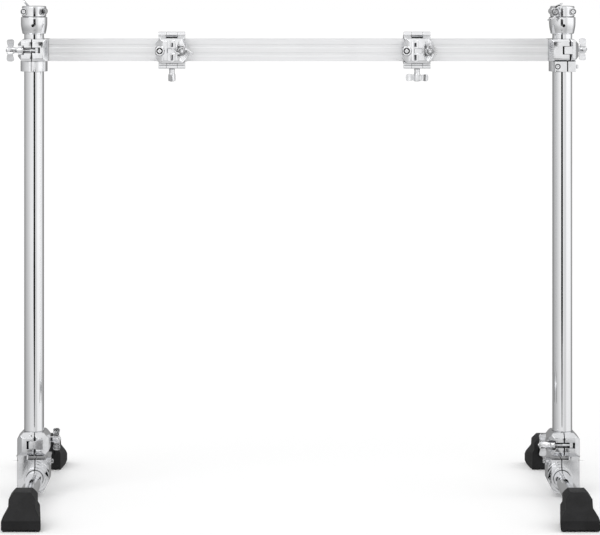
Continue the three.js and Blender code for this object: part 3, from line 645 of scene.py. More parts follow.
for side in SIDES:
    home, place = f"{side}_post", side_place(side)
    seat(post_cup(), f"{side}_top_cup", home, cast_chrome, place, edge=0.35, sharp=50)
    seat(accessory_sleeve(), f"{side}_top_bushing", home, nylon, place, sharp=TUBE_SHARP)
    ring_place = place @ shift(0, 0, RING_BOTTOM + HEAD["ring_height"] / 2)
    if side == "right":
        ring_place = ring_place @ spin(180, "Y")
    seat(moved(ring_clamp(), shift(0, 0, -HEAD["ring_height"] / 2)), f"{side}_top_ring", home, cast_chrome,
         ring_place, edge=0.4, sharp=40)
    screw_place = ring_place @ shift(-HEAD["boss_x"], HEAD["boss_reach"] + SLIP, 0) @ spin(-90, "X")
    seat(ring_wing_screw(), f"{side}_top_wing_screw", f"{side}_top_screw", screw_chrome,
         screw_place @ spin(WING_TURNS[side], "Z"), edge=WING_EDGE)
    key_place = ring_place @ shift(HEAD["boss_x"], HEAD["boss_reach"] - HEAD["recess"] + SLIP, 0) @ spin(-90, "X")
    seat(key_bolt(HEAD["bolt_r"], -HEAD["boss_reach"]), f"{side}_top_key_bolt", home, screw_chrome,
         key_place @ spin(45, "Z"), edge=KEY_EDGE)


# Rail: a square aluminium extrusion, satin anodised, with two shallow grooves in each face that hold the clamps
# in line. The drawing marks of the extrusion run along it. Its ends go over the spigots of the rail joints.
RAIL_Z = 857
RAIL_SIDE = 42
RAIL_WALL = 3
GROOVE = {"width": 6.5, "depth": 1.2, "offset": 8.0}


def rail_outline():
    half, points = RAIL_SIDE / 2, []
    for quarter in range(4):
        c, s = math.cos(quarter * math.pi / 2), math.sin(quarter * math.pi / 2)
        edge = [(-half, -half)]
        for centre in (-GROOVE["offset"], GROOVE["offset"]):
            start, end, floor_level = centre - GROOVE["width"] / 2, centre + GROOVE["width"] / 2, GROOVE["depth"] - half
            edge += [(start, -half), (start, floor_level), (end, floor_level), (end, -half)]
        points += [(round(x * c - y * s, 6), round(x * s + y * c, 6)) for x, y in edge]
    return points


def anodised(name):
    """Satin aluminium: long fine drawing lines along X over a cloudy matt surface."""
    made, tree = blank_material(name)
    place = node(tree, "ShaderNodeTexCoord").outputs["Object"]
    long_place = node(tree, "ShaderNodeMapping", i0=place, Scale=(0.6, 60, 60))
    lines = node(tree, "ShaderNodeTexNoise", Vector=long_place.outputs[0], Scale=14.0, Detail=6.0, Roughness=0.7)
    marks = node(tree, "ShaderNodeGroup", {"node_tree": marks_group}, i0=place, i1=900.0, i2=14.0)
    shade = mix(tree, remap(tree, lines.outputs["Fac"], 0.3, 0.7), (0.88, 0.885, 0.895, 1), (0.96, 0.962, 0.97, 1))
    cloud = mix(tree, 0.12, shade, mix(tree, marks.outputs["Smudges"], grey(1.0), grey(0.8)), "MULTIPLY")
    gloss = remap(tree, marks.outputs["Scuffs"], to_low=0.42, to_high=0.55)
    height = node(tree, "ShaderNodeMath", {"operation": "MULTIPLY_ADD"}, i0=marks.outputs["Height"], i1=0.4,
                  i2=lines.outputs["Fac"])
    dent = node(tree, "ShaderNodeBump", i0=0.12, i1=0.0003, Height=height.outputs[0])
    surface = node(tree, "ShaderNodeBsdfPrincipled", Metallic=0.75, Base_Color=cloud, Roughness=gloss,
                   Normal=dent.outputs[0])
    node(tree, "ShaderNodeOutputMaterial", i0=surface.outputs[0])
    return made


satin_aluminium = anodised("satin_aluminium")
rail_low, rail_high = (corner.x * 1000 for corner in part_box("rail"))
inside = RAIL_SIDE / 2 - RAIL_WALL
rail_solid = cut(prism("x", rail_outline(), rail_low, rail_high),
                 block(rail_low - OVERRUN, rail_high + OVERRUN, -inside, inside, -inside, inside))
seat(rail_solid, "rail", "rail", satin_aluminium, shift(0, 0, RAIL_Z), edge=0.2, sharp=40)


# Rail joints: each is a cast clamp in two halves round the post. The fixed half carries the rail on a spigot, the
# jaw turns on a pin behind, and a swing bolt with a wing nut closes them in front.
SPLIT_GAP = 1.6
HINGE = {"pin_r": 2.5, "tongue_r": 5.75, "tongue_half": 7.4, "cap": 4.0}
CAP_HALF = 0.8
CAST_CORNERS = {"fixed": 2.2, "ends": 1.5, "side": 3.0}
JOINT_EDGE = 0.7
PIVOT = {"eye_r": 4.6, "half": 5.0, "stub_r": 2.4, "stub_length": 5.0}


def clamp_outlines(c):
    g = SPLIT_GAP / 2
    front, back, inner, outer, corner = c["front"], c["back"], c["inner"], c["outer"], c["corner"]
    bolt, hinge, relief, jaw_corner = c["bolt_split"], c["hinge_split"], c["relief"], c["jaw_corner"]
    fixed = [(bolt + g, -front), (inner - corner, -front), (inner, corner - front), (inner, back - corner),
             (inner - corner, back), (hinge + g, back), (hinge + g, 0), (bolt + g, 0)]
    jaw = [(bolt - g, -front), (bolt - g, 0), (hinge - g, 0), (hinge - g, back - relief), (hinge - g - relief, back),
           (c["jaw_face"] - outer, back), (-outer, back - jaw_corner), (-outer, jaw_corner - front),
           (c["jaw_face"] - outer, -front)]
    return fixed, jaw


def nut_pocket(c):
    """Room for the wing nut, with an arc about the bolt's pivot as its floor, so that the bolt swings out."""
    nut_r = WING["flange_r"] + SPLIT_GAP
    start = 180 - math.degrees(math.asin(nut_r / c["seat"]))
    far = c["seat"] + c["outer"] + c["front"]
    points = arc(c["pivot_x"], -c["bolt_y"], c["seat"], start, 270, 18)
    points += [(c["pivot_x"], -far), (-far, -far), (-far, nut_r - c["bolt_y"])]
    return prism("z", points, -nut_r, nut_r)


def bevelled_panel(x0, x1, y, z0, z1, depth, slope):
    """A tool for a shallow panel let into a face at y, with sloping sides."""
    verts = []
    outward = -OVERRUN if depth > 0 else OVERRUN
    for inset, level in ((-slope, y + outward), (0, y), (slope, y + depth)):
        verts += [(x0 + inset, level, z0 + inset), (x1 - inset, level, z0 + inset), (x1 - inset, level, z1 - inset),
                  (x0 + inset, level, z1 - inset)]
    faces = [(0, 1, 2, 3), (8, 9, 10, 11)]
    for ring in (0, 4):
        faces += [(ring + i, ring + (i + 1) % 4, ring + 4 + (i + 1) % 4, ring + 4 + i) for i in range(4)]
    return drawn(verts, faces)


def hinged_clamp(c):
    """The four pieces of a clamp round Z: fixed half at +X, jaw at -X, bolt at -Y and hinge at +Y."""
    half, far, edge = c["height"] / 2, c["outer"] + c["front"], c["edge"]
    fixed, jaw = clamp_outlines(c)
    slot_half, slot_end = PIVOT["half"] + SLIP, c["pivot_x"] + PIVOT["eye_r"] + SPLIT_GAP
    slot_floor = PIVOT["eye_r"] + SLIP - c["bolt_y"]
    stub_end = slot_half + PIVOT["stub_length"]
    tongue_half, tongue_end = HINGE["tongue_half"] + SLIP, c["pin_x"] + HINGE["tongue_r"] + SPLIT_GAP
    at_pin, at_pivot = (c["pin_x"], c["pin_y"]), (c["pivot_x"], -c["bolt_y"])

    def bore():
        return rod("z", c["bore"], -half - OVERRUN, half + OVERRUN, sides=96)

    side_view = [(c["inner"] + OVERRUN, -half), (c["inner"] + OVERRUN, half), (edge - c["outer"], half),
                 (-c["outer"], half - edge), (-c["outer"], edge - half), (edge - c["outer"], -half)]
    # The front and back edges are cast with a slope, top and bottom
    slope = c["slope"]
    end_view = [(-c["front"], slope - half), (slope - c["front"], -half), (c["back"] - slope, -half),
                (c["back"], slope - half), (c["back"], half - slope), (c["back"] - slope, half),
                (slope - c["front"], half), (-c["front"], half - slope)]

    def ends():
        return prism("x", rounded(end_view, CAST_CORNERS["ends"], 4), -far, far)

    body = cut(meet(prism("z", rounded(fixed, CAST_CORNERS["fixed"]), -half, half), ends()), bore(),
               block(-far, slot_end, -far, slot_floor, -slot_half, slot_half),
               rod("z", PIVOT["stub_r"] + SLIP, -stub_end - SLIP, stub_end + SLIP, at_pivot),
               block(-far, tongue_end, 0, far, -tongue_half, tongue_half))
    body = join(body, rod("z", HINGE["pin_r"], HINGE["cap"] - half, half - HINGE["cap"], at_pin))
    shell = meet(prism("z", rounded(jaw, c["round"]), -half, half),
                 prism("y", rounded(side_view, CAST_CORNERS["side"]), -far, far), ends())
    root = c["hinge_split"] - SPLIT_GAP / 2 - HINGE["tongue_r"]
    tongue_r = HINGE["tongue_r"]
    tongue = join(block(root, c["pin_x"], c["pin_y"] - tongue_r, c["pin_y"] + tongue_r, -HINGE["tongue_half"],
                        HINGE["tongue_half"]),
                  rod("z", tongue_r, -HINGE["tongue_half"], HINGE["tongue_half"], at_pin))
    hinged = cut(shell, bore(), block(-far, slot_end, -far, slot_floor, -c["slot"], c["slot"]), nut_pocket(c))
    hinged = cut(join(hinged, tongue), rod("z", HINGE["pin_r"] + SLIP, -half, half, at_pin))
    reach = -c["seat"] - wing_top(c["neck"]) - WING["hub_lip"]
    shank = moved(threaded(WING["rod_r"], reach, 0, plain=c["seat"] * 0.55), spin(90, "Y"))
    bolt = join(rod("z", PIVOT["eye_r"], -PIVOT["half"], PIVOT["half"]),
                rod("z", PIVOT["stub_r"], -stub_end, stub_end), shank)
    nut = wing_nut(c["neck"])
    if c["cap_r"]:
        low, fit_r = c["neck"], WING["rod_r"] + SLIP
        rim = arc(c["cap_r"] - CAP_HALF, low + CAP_HALF, CAP_HALF, -90, 90, 8)
        nut = join(nut, lathe([(fit_r, low), *rim, (fit_r, low + 2 * CAP_HALF)], 72))
    moved(nut, spin(-90, "Y"), shift(c["pivot_x"] - c["seat"] - SLIP, -c["bolt_y"], 0))
    return {"body": body, "jaw": hinged, "bolt": moved(bolt, shift(c["pivot_x"], -c["bolt_y"], 0)), "nut": nut}


RAIL_JOINT = {"height": 42, "bore": POST_R + SLIP, "inner": 29, "outer": 29, "front": 36, "back": 33, "corner": 9,
              "relief": 4, "edge": 9, "bolt_split": -2, "hinge_split": -11.5, "pivot_x": 8, "bolt_y": 28.5,
              "pin_x": -4.5, "pin_y": 26.5, "seat": 25.5, "slot": 5.2, "neck": 17, "jaw_corner": 13, "jaw_face": 7,
              "slope": 5, "round": 2.0, "cap_r": 0}
SPIGOT_LENGTH = 28

for side in SIDES:
    place = side_place(side) @ shift(0, 0, RAIL_Z)
    parts = hinged_clamp(RAIL_JOINT)
    inside = RAIL_SIDE / 2 - RAIL_WALL - SLIP
    start = RAIL_JOINT["inner"] - OVERRUN
    spigot = block(start, RAIL_JOINT["inner"] + SPIGOT_LENGTH, -inside, inside, -inside, inside)
    rows = [("rail_joint_body", join(parts["body"], spigot), "rail", "casting", cast_chrome, JOINT_EDGE),
            ("rail_joint_jaw", parts["jaw"], f"{side}_rail_jaw", "casting", cast_chrome, JOINT_EDGE),
            ("rail_joint_swing_bolt", parts["bolt"], f"{side}_rail_jaw_bolt", "fastener", screw_chrome, 0),
            ("rail_joint_wing_nut", parts["nut"], f"{side}_rail_jaw_nut", "fastener", screw_chrome, WING_EDGE)]
    for name, shape, body, slot, finish, edge in rows:
        seat(shape, f"{side}_{name}", body, finish, place, edge=edge)


# Memory collars: split cast rings under the rail joints. They stay on the posts when the rack is folded away and
# give the rail its height again. A square-head bolt closes each behind, beside a second head in a round recess, and
# a grooved block in front is the grip.
COLLAR = {"height": 20.0, "ring_r": 26.0, "gap": 2.0, "gap_x": -6.6, "ear_back": 31.0, "ear_left": -23.0,
          "ear_right": 18.5, "bolt_y": 25.2, "bolt_r": 2.6, "grip_left": -9.0, "grip_right": 3.6,
          "grip_front": 28.6, "grip_groove": 1.6, "recess_x": 12.2, "recess_r": 5.3, "recess": 2.6, "recess_head": 2.2,
          "edge": 0.5, "grip_relief": 0.5, "relief_depth": 0.4}
COLLAR_TOP = RAIL_Z - RAIL_JOINT["height"] / 2 - SLIP


def memory_collar():
    c = COLLAR
    low, middle = -c["height"], -c["height"] / 2
    ears = rounded([(c["ear_left"], 0), (c["ear_right"], 0), (c["ear_right"], c["ear_back"]),
                    (c["ear_left"], c["ear_back"])], 3.5)
    grip = rounded([(c["grip_left"], 0), (c["grip_left"], -c["grip_front"]), (c["grip_right"], -c["grip_front"]),
                    (c["grip_right"], 0)], 1.4)
    ring = join(rod("z", c["ring_r"], low, 0, sides=96), prism("z", ears, low, 0), prism("z", grip, low, 0))
    grip_x, groove = (c["grip_left"] + c["grip_right"]) / 2, c["grip_groove"] / 2
    gap_x, gap, relief = c["gap_x"], c["gap"] / 2, c["grip_relief"]
    floor = c["ear_back"] - c["recess"]
    head = moved(key_head(-1, c["recess_head"]), spin(-90, "X"), shift(c["recess_x"], floor, middle))
    ring = cut(ring, rod("y", c["recess_r"], floor, c["ear_back"] + OVERRUN, (c["recess_x"], middle), 56))
    return cut(join(ring, head), rod("z", POST_R + SLIP, low - OVERRUN, OVERRUN, sides=96),
               block(gap_x - gap, gap_x + gap, 0, c["ear_back"] + OVERRUN, low - OVERRUN, OVERRUN),
               rod("x", c["bolt_r"] + SLIP, c["ear_left"] - OVERRUN, c["ear_right"] + OVERRUN,
                   (c["bolt_y"], middle)),
               block(grip_x - groove, grip_x + groove, -c["grip_front"] - OVERRUN,
                     c["grip_groove"] - c["grip_front"], low - OVERRUN, OVERRUN),
               *(block(x - relief, x + relief, -c["grip_front"] - OVERRUN, -c["ring_r"] + c["relief_depth"],
                       low - OVERRUN, OVERRUN) for x in (c["grip_left"] - relief, c["grip_right"] + relief)))


for side in SIDES:
    place = side_place(side) @ shift(0, 0, COLLAR_TOP)
    seat(memory_collar(), f"{side}_memory_collar", "rail", cast_chrome, place, edge=COLLAR["edge"])
    bolt_place = place @ shift(COLLAR["ear_left"] - SLIP, COLLAR["bolt_y"], -COLLAR["height"] / 2) @ spin(-90, "Y")
    bolt_end = COLLAR["ear_left"] - COLLAR["ear_right"] + SLIP
    seat(key_bolt(COLLAR["bolt_r"], bolt_end), f"{side}_collar_bolt", "rail", screw_chrome, bolt_place,
         edge=KEY_EDGE)


# Leg blocks: a tall outer casting joins each post to its leg tube. The upper half of the block is a hinged clamp
# round the post, as on the rail joints, and the lower half has a bolted jaw round the tube.
LEG_CLAMP = {"height": 45, "bore": POST_R + SLIP, "inner": 30.5, "outer": 30.5, "front": 36, "back": 33, "corner": 10,
             "relief": 4, "edge": 10, "bolt_split": 0, "hinge_split": -3, "pivot_x": 14, "bolt_y": 28.5, "pin_x": 4,
             "pin_y": 26.5, "seat": 31.5, "slot": 5.2, "neck": 15, "jaw_corner": 12, "jaw_face": 12, "slope": 9,
             "round": 3.0, "cap_r": 0}
LEG_BLOCK = {"top": 125, "slit_top": 80, "slit_bottom": 73, "bottom": 10, "edge": 12, "slit_right": 9, "depth": 26,
             "ring_r": 20.5, "ring_step": 3, "toe": 11.5, "toe_rise": 22.6, "shoulder": 7, "shoulder_drop": 14,
             "bolt_height": 66, "bolt_end": 14, "collar_r": 8, "collar_high": 2.4, "cut_half": 60}
LEG_PANEL = {"left": -20, "right": -3.6, "low": 92, "high": 113, "rise": 1.6, "slope": 0.8}
LEG_R = 15.9
LEG_WALL = 2
LEG_EDGE = 0.4
BRACKET_EDGE = 0.8
JAW_EDGE = 0.7
TUBE_JAW_EDGE = 0.5
LEG_HEIGHT = 38
LEG_INSET = 4
LEG_FIT_R = LEG_R + SLIP
RIB_RADII = (27.0, 31.5)
RIB_HALF = 0.6
RIB_STEP = 0.8
RIB_FIELD = {"width_share": 0.96, "shift": 0.6, "height_share": 0.95, "middle": 50}
leg_chrome = metal("leg_chrome", (0.75, 0.755, 0.77, 1), (0.67, 0.675, 0.69, 1), 0.12, 0.24, (1, 1, 1), 160, 45,
                   0.12)


def leg_lower(outline, split, ribs=False):
    b = LEG_BLOCK
    reach = b["depth"] + b["ring_step"]
    at = (-LEG_INSET, LEG_HEIGHT)
    body = prism("y", rounded(outline, 4), -b["depth"], b["depth"])
    if ribs:
        r, end = RIB_FIELD, b["depth"] + RIB_STEP
        for radius in RIB_RADII:
            band = lathe([(radius - RIB_HALF, -end), (radius + RIB_HALF, -end), (radius + RIB_HALF, end),
                          (radius - RIB_HALF, end)], 96)
            moved(band, spin(90, "X"), shift(at[0], 0, at[1]))
            inner = prism("y", [(x * r["width_share"] - r["shift"], (z - r["middle"]) * r["height_share"] + r["middle"])
                                for x, z in outline], -reach, reach)
            body = join(body, meet(band, inner))
    ring = rod("y", b["ring_r"], -reach, reach, at, 72)
    in_split = block(split[0], split[1], -reach - OVERRUN, reach + OVERRUN, 0, b["top"])
    return cut(meet(join(body, ring), in_split), rod("y", LEG_FIT_R, -reach - OVERRUN, reach + OVERRUN, at, 72))


def leg_bracket(upper):
    b, outer = LEG_BLOCK, LEG_CLAMP["inner"]
    foot = [(-outer, b["bottom"]), (outer, b["bottom"]), (outer, b["slit_bottom"]), (-outer, b["slit_bottom"])]
    lower = leg_lower(foot, (-LEG_INSET + SPLIT_GAP / 2, outer + OVERRUN))
    web = prism("z", rounded([(b["slit_right"], -b["depth"]), (outer, -b["depth"]), (outer, b["depth"]),
                              (b["slit_right"], b["depth"])], 3), b["slit_bottom"] - OVERRUN, b["slit_top"] + OVERRUN)
    web = cut(web, rod("z", POST_R + SLIP, b["slit_top"], b["slit_top"] + 2 * OVERRUN, sides=96))
    hole = rod("x", COLLAR["bolt_r"] + SLIP, -outer, b["bolt_end"], (0, b["bolt_height"]))
    top, edge = b["top"], b["edge"]
    top_edge = [(outer - edge, top), (outer, top - edge), (outer + OVERRUN, top - edge),
                (outer + OVERRUN, top + OVERRUN), (outer - edge, top + OVERRUN)]
    return cut(join(upper, lower, web), hole, prism("y", top_edge, -b["cut_half"], b["cut_half"]))


def tube_jaw():
    b, inner, right = LEG_BLOCK, -LEG_CLAMP["outer"], -LEG_INSET - SPLIT_GAP / 2
    outline = [(inner + b["toe"], b["bottom"]), (right + OVERRUN, b["bottom"]), (right + OVERRUN, b["slit_bottom"]),
               (inner + b["shoulder"], b["slit_bottom"]), (inner, b["slit_bottom"] - b["shoulder_drop"]),
               (inner, b["bottom"] + b["toe_rise"])]
    lower = leg_lower(outline, (inner - OVERRUN, right), ribs=True)
    at = (0, b["bolt_height"])
    collar = rod("x", b["collar_r"], inner - b["collar_high"], inner + b["shoulder"], at, 56)
    return cut(join(lower, collar), rod("x", COLLAR["bolt_r"] + SLIP, inner - b["collar_r"], 0, at))


for side in SIDES:
    place = side_place(side) @ spin(180, "Z")
    parts = hinged_clamp(LEG_CLAMP)
    for shape in parts.values():
        moved(shape, shift(0, 0, (LEG_BLOCK["top"] + LEG_BLOCK["slit_top"]) / 2))
    p = LEG_PANEL
    panel = bevelled_panel(p["left"], p["right"], LEG_CLAMP["back"], p["low"], p["high"], -p["rise"], p["slope"])
    bolt_x = -LEG_CLAMP["outer"] - LEG_BLOCK["collar_high"] - SLIP
    bolt_length = LEG_BLOCK["bolt_end"] - bolt_x - 2 * SLIP
    jaw_bolt = moved(key_bolt(COLLAR["bolt_r"], -bolt_length), spin(-90, "Y"),
                     shift(bolt_x, 0, LEG_BLOCK["bolt_height"]))
    rows = [("leg_bracket", leg_bracket(parts["body"]), "leg", "casting", leg_chrome, BRACKET_EDGE),
            ("post_jaw", cut(parts["jaw"], panel), "leg_jaw", "casting", leg_chrome, JAW_EDGE),
            ("post_jaw_swing_bolt", parts["bolt"], "leg_jaw_bolt", "fastener", screw_chrome, 0),
            ("post_jaw_wing_nut", parts["nut"], "leg_jaw_nut", "fastener", screw_chrome, WING_EDGE),
            ("tube_jaw", tube_jaw(), "leg", "casting", leg_chrome, TUBE_JAW_EDGE),
            ("tube_jaw_bolt", jaw_bolt, "leg", "fastener", screw_chrome, KEY_EDGE)]
    for name, shape, body, slot, finish, edge in rows:
        seat(shape, f"{side}_{name}", f"{side}_{body}", finish, place, edge=edge)


# Leg tubes: plain chromed tubes along the floor, one through the lower half of each leg block. A moulded rubber
# foot is pushed over either end: a flat top, a sloping toe, a flared sole and a ribbed tread.
LEG_REACH = 308
FOOT = {"height": 66, "length": 75, "top_length": 48, "toe_high": 20, "socket": 38, "tread": 3, "tread_width": 5,
        "tread_pitch": 12, "top_half": 15, "crown_half": 24.3, "crown_drop": 11, "waist_half": 24.3,
        "waist_high": 40, "flare_half": 33.5, "flare_high": 26, "base_half": 35.8, "base_high": 19,
        "sole_half": 33, "heel_half": 28, "heel_cut": 3, "corner": 2.5, "groove_lip": 0.4, "groove_flare": 1,
        "edge": 1.1, "sharp": 24}
rubber = plastic("foot_rubber", (0.007, 0.007, 0.0075, 1), (0.014, 0.014, 0.015, 1), 0.5, 380, 0.3, sheen=0.25)


def rubber_foot():
    f = FOOT
    right = [(f["sole_half"], 0), (f["base_half"], f["tread_width"]), (f["base_half"], f["base_high"]),
             (f["flare_half"], f["flare_high"]), (f["waist_half"], f["waist_high"]),
             (f["crown_half"], f["height"] - f["crown_drop"]), (f["top_half"], f["height"])]
    front = right + [(-x, z) for x, z in reversed(right)]
    side_view = [(f["heel_cut"] - f["length"], 0), (-f["heel_cut"], 0), (0, f["heel_cut"]),
                 (0, f["height"] - f["crown_drop"] / 2), (-f["crown_drop"] / 2, f["height"]),
                 (-f["top_length"], f["height"]), (-f["length"], f["toe_high"]), (-f["length"], f["heel_cut"])]
    body = meet(prism("y", rounded(front, f["corner"], 4), -f["length"] - OVERRUN, OVERRUN),
                prism("x", rounded(side_view, f["corner"], 4), -f["base_half"] - 1, f["base_half"] + 1),
                prism("z", [(-f["base_half"], -f["length"]), (f["base_half"], -f["length"]), (f["heel_half"], 0),
                            (-f["heel_half"], 0)], -OVERRUN, f["height"] + OVERRUN))
    tools = [rod("y", LEG_FIT_R, -f["socket"], OVERRUN, (0, LEG_HEIGHT), 72)]
    lugs = int(f["sole_half"] // f["tread_pitch"])
    for i in range(-lugs, lugs + 1):
        x, half = i * f["tread_pitch"], f["tread_width"] / 2
        lip, flare = f["groove_lip"], half + f["groove_flare"]
        arch = [(x - flare, -OVERRUN), (x - half, lip), *arc(x, f["tread"] - half, half, 180, 0, 10), (x + half, lip),
                (x + flare, -OVERRUN)]
        tools.append(prism("y", arch, -f["length"] - OVERRUN, OVERRUN))
    return cut(body, *tools)


for side in SIDES:
    block_place = side_place(side) @ spin(180, "Z")
    tube_end = LEG_REACH - FOOT["length"] + FOOT["socket"] - SLIP
    tube = lathe(tube_outline(LEG_R, LEG_R - LEG_WALL, -tube_end, tube_end, LEG_EDGE), 72)
    seat(tube, f"{side}_leg_tube", f"{side}_leg_tube", tube_chrome,
         block_place @ shift(-LEG_INSET, 0, LEG_HEIGHT) @ spin(90, "X"), sharp=TUBE_SHARP)
    heel = LEG_REACH - FOOT["length"]
    ends = {"left": ("front_foot", "rear_foot"), "right": ("rear_foot", "front_foot")}[side]
    for name, place in zip(ends, (shift(-LEG_INSET, heel, 0) @ spin(180, "Z"), shift(-LEG_INSET, -heel, 0))):
        seat(rubber_foot(), f"{side}_{name}", f"{side}_leg_tube", rubber, block_place @ place,
             edge=FOOT["edge"], sharp=FOOT["sharp"])


# Rail clamps: each is a cast body on the rail's front face, a rear jaw that hooks round the rail from a hinge on
# top, and a gate that closes on the upright accessory tube. The body's middle knuckle belongs to the rear jaw.
GATE_CLAMP = {"height": 47, "bore": 13, "inner": 24.7, "outer": 19, "front": 30, "back": 30, "corner": 3,
              "relief": 4, "edge": 5, "bolt_split": 0, "hinge_split": 0, "pivot_x": 10.5, "bolt_y": 21.5,
              "pin_x": 6.2, "pin_y": 21.5, "seat": 21.5, "slot": 3.8, "neck": 11, "jaw_corner": 13, "jaw_face": 13,
              "slope": 5, "round": 12.0, "cap_r": 8.6}
RAIL_CLAMP = {"tube_y": -46, "face_corner": 9, "knuckle_r": 5.8, "knuckle_z": 29.8, "pin_r": 2.5, "mid_half": 10.4,
              "width": 51, "jaw_thick": 6, "jaw_grip": 48, "screw_r": 2.4, "screw_up": 12, "lug_bottom": 35,
              "collar_r": 5.8, "screw_neck": 9, "boss_x": -22, "boss_r": 9.6, "boss_reach": 67, "recess_r": 6,
              "recess": 4.4, "bolt_depth": 8, "bolt_r": 2.6, "flute_r": 14, "flute_depth": 1.8, "slot_half": 1.9,
              "slot_floor": 9, "panel_half": 8, "panel_high": 5.3, "panel_depth": 2.4, "panel_slope": 1.2,
              "neck_low": 25.4, "neck_high": 28.9, "neck_depth": 2.6, "boss_lip": 0.9, "boss_step": 1.1,
              "window": (6, 18), "window_half": 15, "window_corner": 3, "window_depth": 1.6, "pin_edge": 0.5}
CLAMP_EDGE = 0.6
GATE_SLOTS = ((7.7, 15.3), (-18.0, -7.5))
CLAMP_SPOTS = {"left_clamp": -242, "right_clamp": 227}
GATE_FLUTES = {"left_clamp": 1.4, "right_clamp": -5.3}
GATE_NUT_TURNS = {"left_clamp": 102, "right_clamp": 4}
KNUCKLE_Y = -RAIL_SIDE / 2 - SLIP - RAIL_CLAMP["knuckle_r"]
LUG_FRONT = KNUCKLE_Y - RAIL_CLAMP["knuckle_r"]


def clamp_face(shape):
    half, wide, c = GATE_CLAMP["height"] / 2, GATE_CLAMP["front"], RAIL_CLAMP["face_corner"]
    face = [(c - wide, -half), (wide - c, -half), (wide, c - half), (wide, half - c), (wide - c, half),
            (c - wide, half), (-wide, half - c), (-wide, c - half)]
    return meet(shape, prism("y", rounded(face, 2.5, 4), 2 * RAIL_CLAMP["tube_y"], 0))


def clamp_neck(half, low, high):
    """A tool for the groove that sets a knuckle or a lug off from the casting."""
    return block(-half, half, LUG_FRONT - OVERRUN, LUG_FRONT + RAIL_CLAMP["neck_depth"], low, high)


def clamp_body(gate_body):
    k, half, top = RAIL_CLAMP, RAIL_CLAMP["width"] / 2, GATE_CLAMP["height"] / 2
    back, inside = -RAIL_SIDE / 2 - SLIP, RAIL_CLAMP["mid_half"] + SLIP
    pin, screw, far = k["pin_r"] + SLIP, k["screw_r"] + SLIP, half + OVERRUN
    parts = [cut(clamp_face(gate_body), rod("z", screw, -top - OVERRUN, k["screw_up"] - top, (0, KNUCKLE_Y)))]
    for low, high in ((-half, -inside), (inside, half)):
        lug = rounded([(LUG_FRONT, OVERRUN - top), (LUG_FRONT, -k["lug_bottom"]), (back, -k["lug_bottom"]),
                       (back, OVERRUN - top)], 2.0)
        eye = arc(KNUCKLE_Y, k["knuckle_z"], k["knuckle_r"], 0, 180, 28)
        eye += [(LUG_FRONT, top - OVERRUN), (back, top - OVERRUN)]
        pin_hole = rod("x", pin, low - OVERRUN, high + OVERRUN, (KNUCKLE_Y, k["knuckle_z"]))
        parts += [cut(prism("x", eye, low, high), pin_hole, clamp_neck(far, k["neck_low"], k["neck_high"])),
                  cut(prism("x", lug, low, high), clamp_neck(far, -k["neck_high"], -k["neck_low"]))]
    return join(*parts)


def rear_jaw():
    k, near, half = RAIL_CLAMP, RAIL_SIDE / 2 + SLIP, RAIL_CLAMP["jaw_grip"] / 2
    far, bevel, front = near + k["jaw_thick"], k["jaw_thick"] / 2, SLIP - RAIL_SIDE / 2
    hook = rounded([(front, near), (near, near), (near, -near), (front, -near), (front, -far), (far - bevel, -far),
                    (far, bevel - far), (far, far - bevel), (far - bevel, far), (front, far)], 0.8)
    top, middle = GATE_CLAMP["height"] / 2 + SLIP, k["mid_half"]
    lug = rounded([(LUG_FRONT, -top), (LUG_FRONT, -k["lug_bottom"]), (front + OVERRUN, -k["lug_bottom"]),
                   (front + OVERRUN, -top)], 1.6)
    (start, end), high = k["window"], k["window_half"]
    windows = [prism("y", rounded([(s * start, -high), (s * end, -high), (s * end, high), (s * start, high)][::s],
                                  k["window_corner"]), far - k["window_depth"], far + OVERRUN) for s in (-1, 1)]
    return cut(join(cut(prism("x", hook, -half, half), *windows),
                    rod("x", k["knuckle_r"], -middle, middle, (KNUCKLE_Y, k["knuckle_z"]), 56),
                    block(-middle, middle, KNUCKLE_Y, front + OVERRUN, top, k["knuckle_z"]),
                    cut(prism("x", lug, -middle, middle), clamp_neck(half, -k["neck_high"], -k["neck_low"]))),
               rod("x", k["pin_r"] + SLIP, -half, half, (KNUCKLE_Y, k["knuckle_z"])),
               rod("z", k["screw_r"] + SLIP, -k["lug_bottom"] - OVERRUN, OVERRUN - top, (0, KNUCKLE_Y)))


def clamp_gate(shell, x):
    k, at = RAIL_CLAMP, (RAIL_CLAMP["boss_x"], 0)
    floor = k["recess"] - k["boss_reach"]
    boss = join(rod("y", k["boss_r"], -k["boss_reach"] + k["boss_lip"], k["tube_y"] - SPLIT_GAP, at, 72),
                rod("y", k["boss_r"] - k["boss_step"], -k["boss_reach"], k["tube_y"] - SPLIT_GAP, at, 72))
    front = k["tube_y"] - GATE_CLAMP["outer"]
    slot, wide, high = k["slot_half"], k["panel_half"], k["panel_high"]
    flute = rod("z", k["flute_r"], -RAIL_SIDE, RAIL_SIDE, (x, front + k["flute_depth"] - k["flute_r"]), 96)
    slots = [block(x - slot, x + slot, front - OVERRUN, front + k["slot_floor"], *ends) for ends in GATE_SLOTS]
    panel = bevelled_panel(-wide, wide, front, -high, high, k["panel_depth"], k["panel_slope"])
    return cut(clamp_face(join(cut(shell, flute, panel, *slots), boss)),
               rod("y", k["recess_r"], -k["boss_reach"] - OVERRUN, floor, at, 56),
               rod("y", k["bolt_r"] + SLIP, floor - OVERRUN, floor + k["bolt_depth"] + SLIP, at))


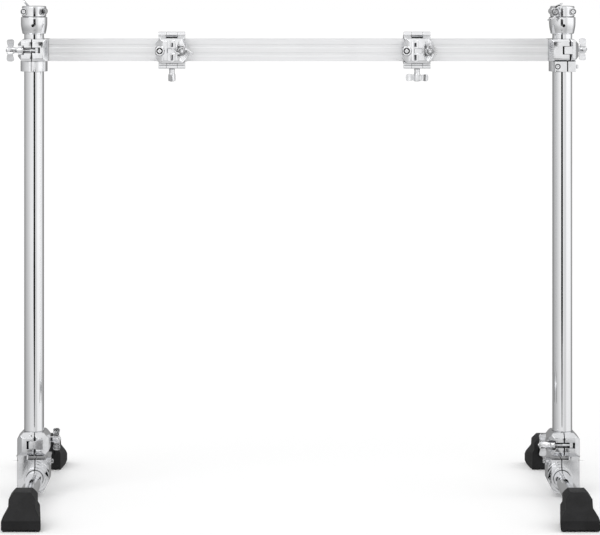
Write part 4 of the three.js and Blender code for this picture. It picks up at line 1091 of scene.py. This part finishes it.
for name, x in CLAMP_SPOTS.items():
    k, place = RAIL_CLAMP, shift(x, 0, RAIL_Z)
    parts = hinged_clamp(GATE_CLAMP)
    for shape in parts.values():
        moved(shape, spin(90, "Z"), shift(0, k["tube_y"], 0))
    at = shift(GATE_CLAMP["bolt_y"], 0, 0)
    moved(parts["nut"], at @ spin(GATE_NUT_TURNS[name], "Y") @ at.inverted())
    half, floor = k["width"] / 2, k["recess"] - k["boss_reach"]
    pin_r, pin_edge = k["pin_r"], k["pin_edge"]
    pin = lathe([(pin_r - pin_edge, -half), (pin_r, pin_edge - half), (pin_r, half - pin_edge),
                 (pin_r - pin_edge, half)], 48)
    screw_end = GATE_CLAMP["height"] / 2 - k["lug_bottom"] - k["screw_up"]
    screw = wing_screw(k["screw_r"], screw_end, k["screw_neck"], k["collar_r"])
    screw_place = shift(0, KNUCKLE_Y, -k["lug_bottom"] - SLIP) @ spin(180, "X") @ spin(WING_TURNS[name], "Z")
    key_place = shift(k["boss_x"], floor - SLIP, 0) @ spin(90, "X") @ spin(45, "Z")
    pin_place = shift(0, KNUCKLE_Y, k["knuckle_z"]) @ spin(90, "Y")
    drawn_here = shift(0, 0, 0)
    rows = [("body", clamp_body(parts["body"]), "clamp", "casting", cast_chrome, CLAMP_EDGE, drawn_here),
            ("rear_jaw", rear_jaw(), "clamp", "casting", cast_chrome, CLAMP_EDGE, drawn_here),
            ("hinge_pin", pin, "clamp", "fastener", screw_chrome, 0, pin_place),
            ("wing_screw", screw, "clamp_screw", "fastener", screw_chrome, WING_EDGE, screw_place),
            ("gate", clamp_gate(parts["jaw"], GATE_FLUTES[name]), "clamp_gate", "casting", cast_chrome, CLAMP_EDGE,
             drawn_here),
            ("gate_key_bolt", key_bolt(k["bolt_r"], -k["bolt_depth"]), "clamp_gate", "fastener", screw_chrome,
             KEY_EDGE, key_place),
            ("gate_swing_bolt", parts["bolt"], "clamp_gate_bolt", "fastener", screw_chrome, 0, drawn_here),
            ("gate_wing_nut", parts["nut"], "clamp_gate_nut", "fastener", screw_chrome, WING_EDGE, drawn_here)]
    side = name.split("_")[0]
    for piece, shape, body, slot, finish, edge, local in rows:
        seat(shape, f"{name}_{piece}", f"{side}_{body}", finish, place @ local, edge=edge)
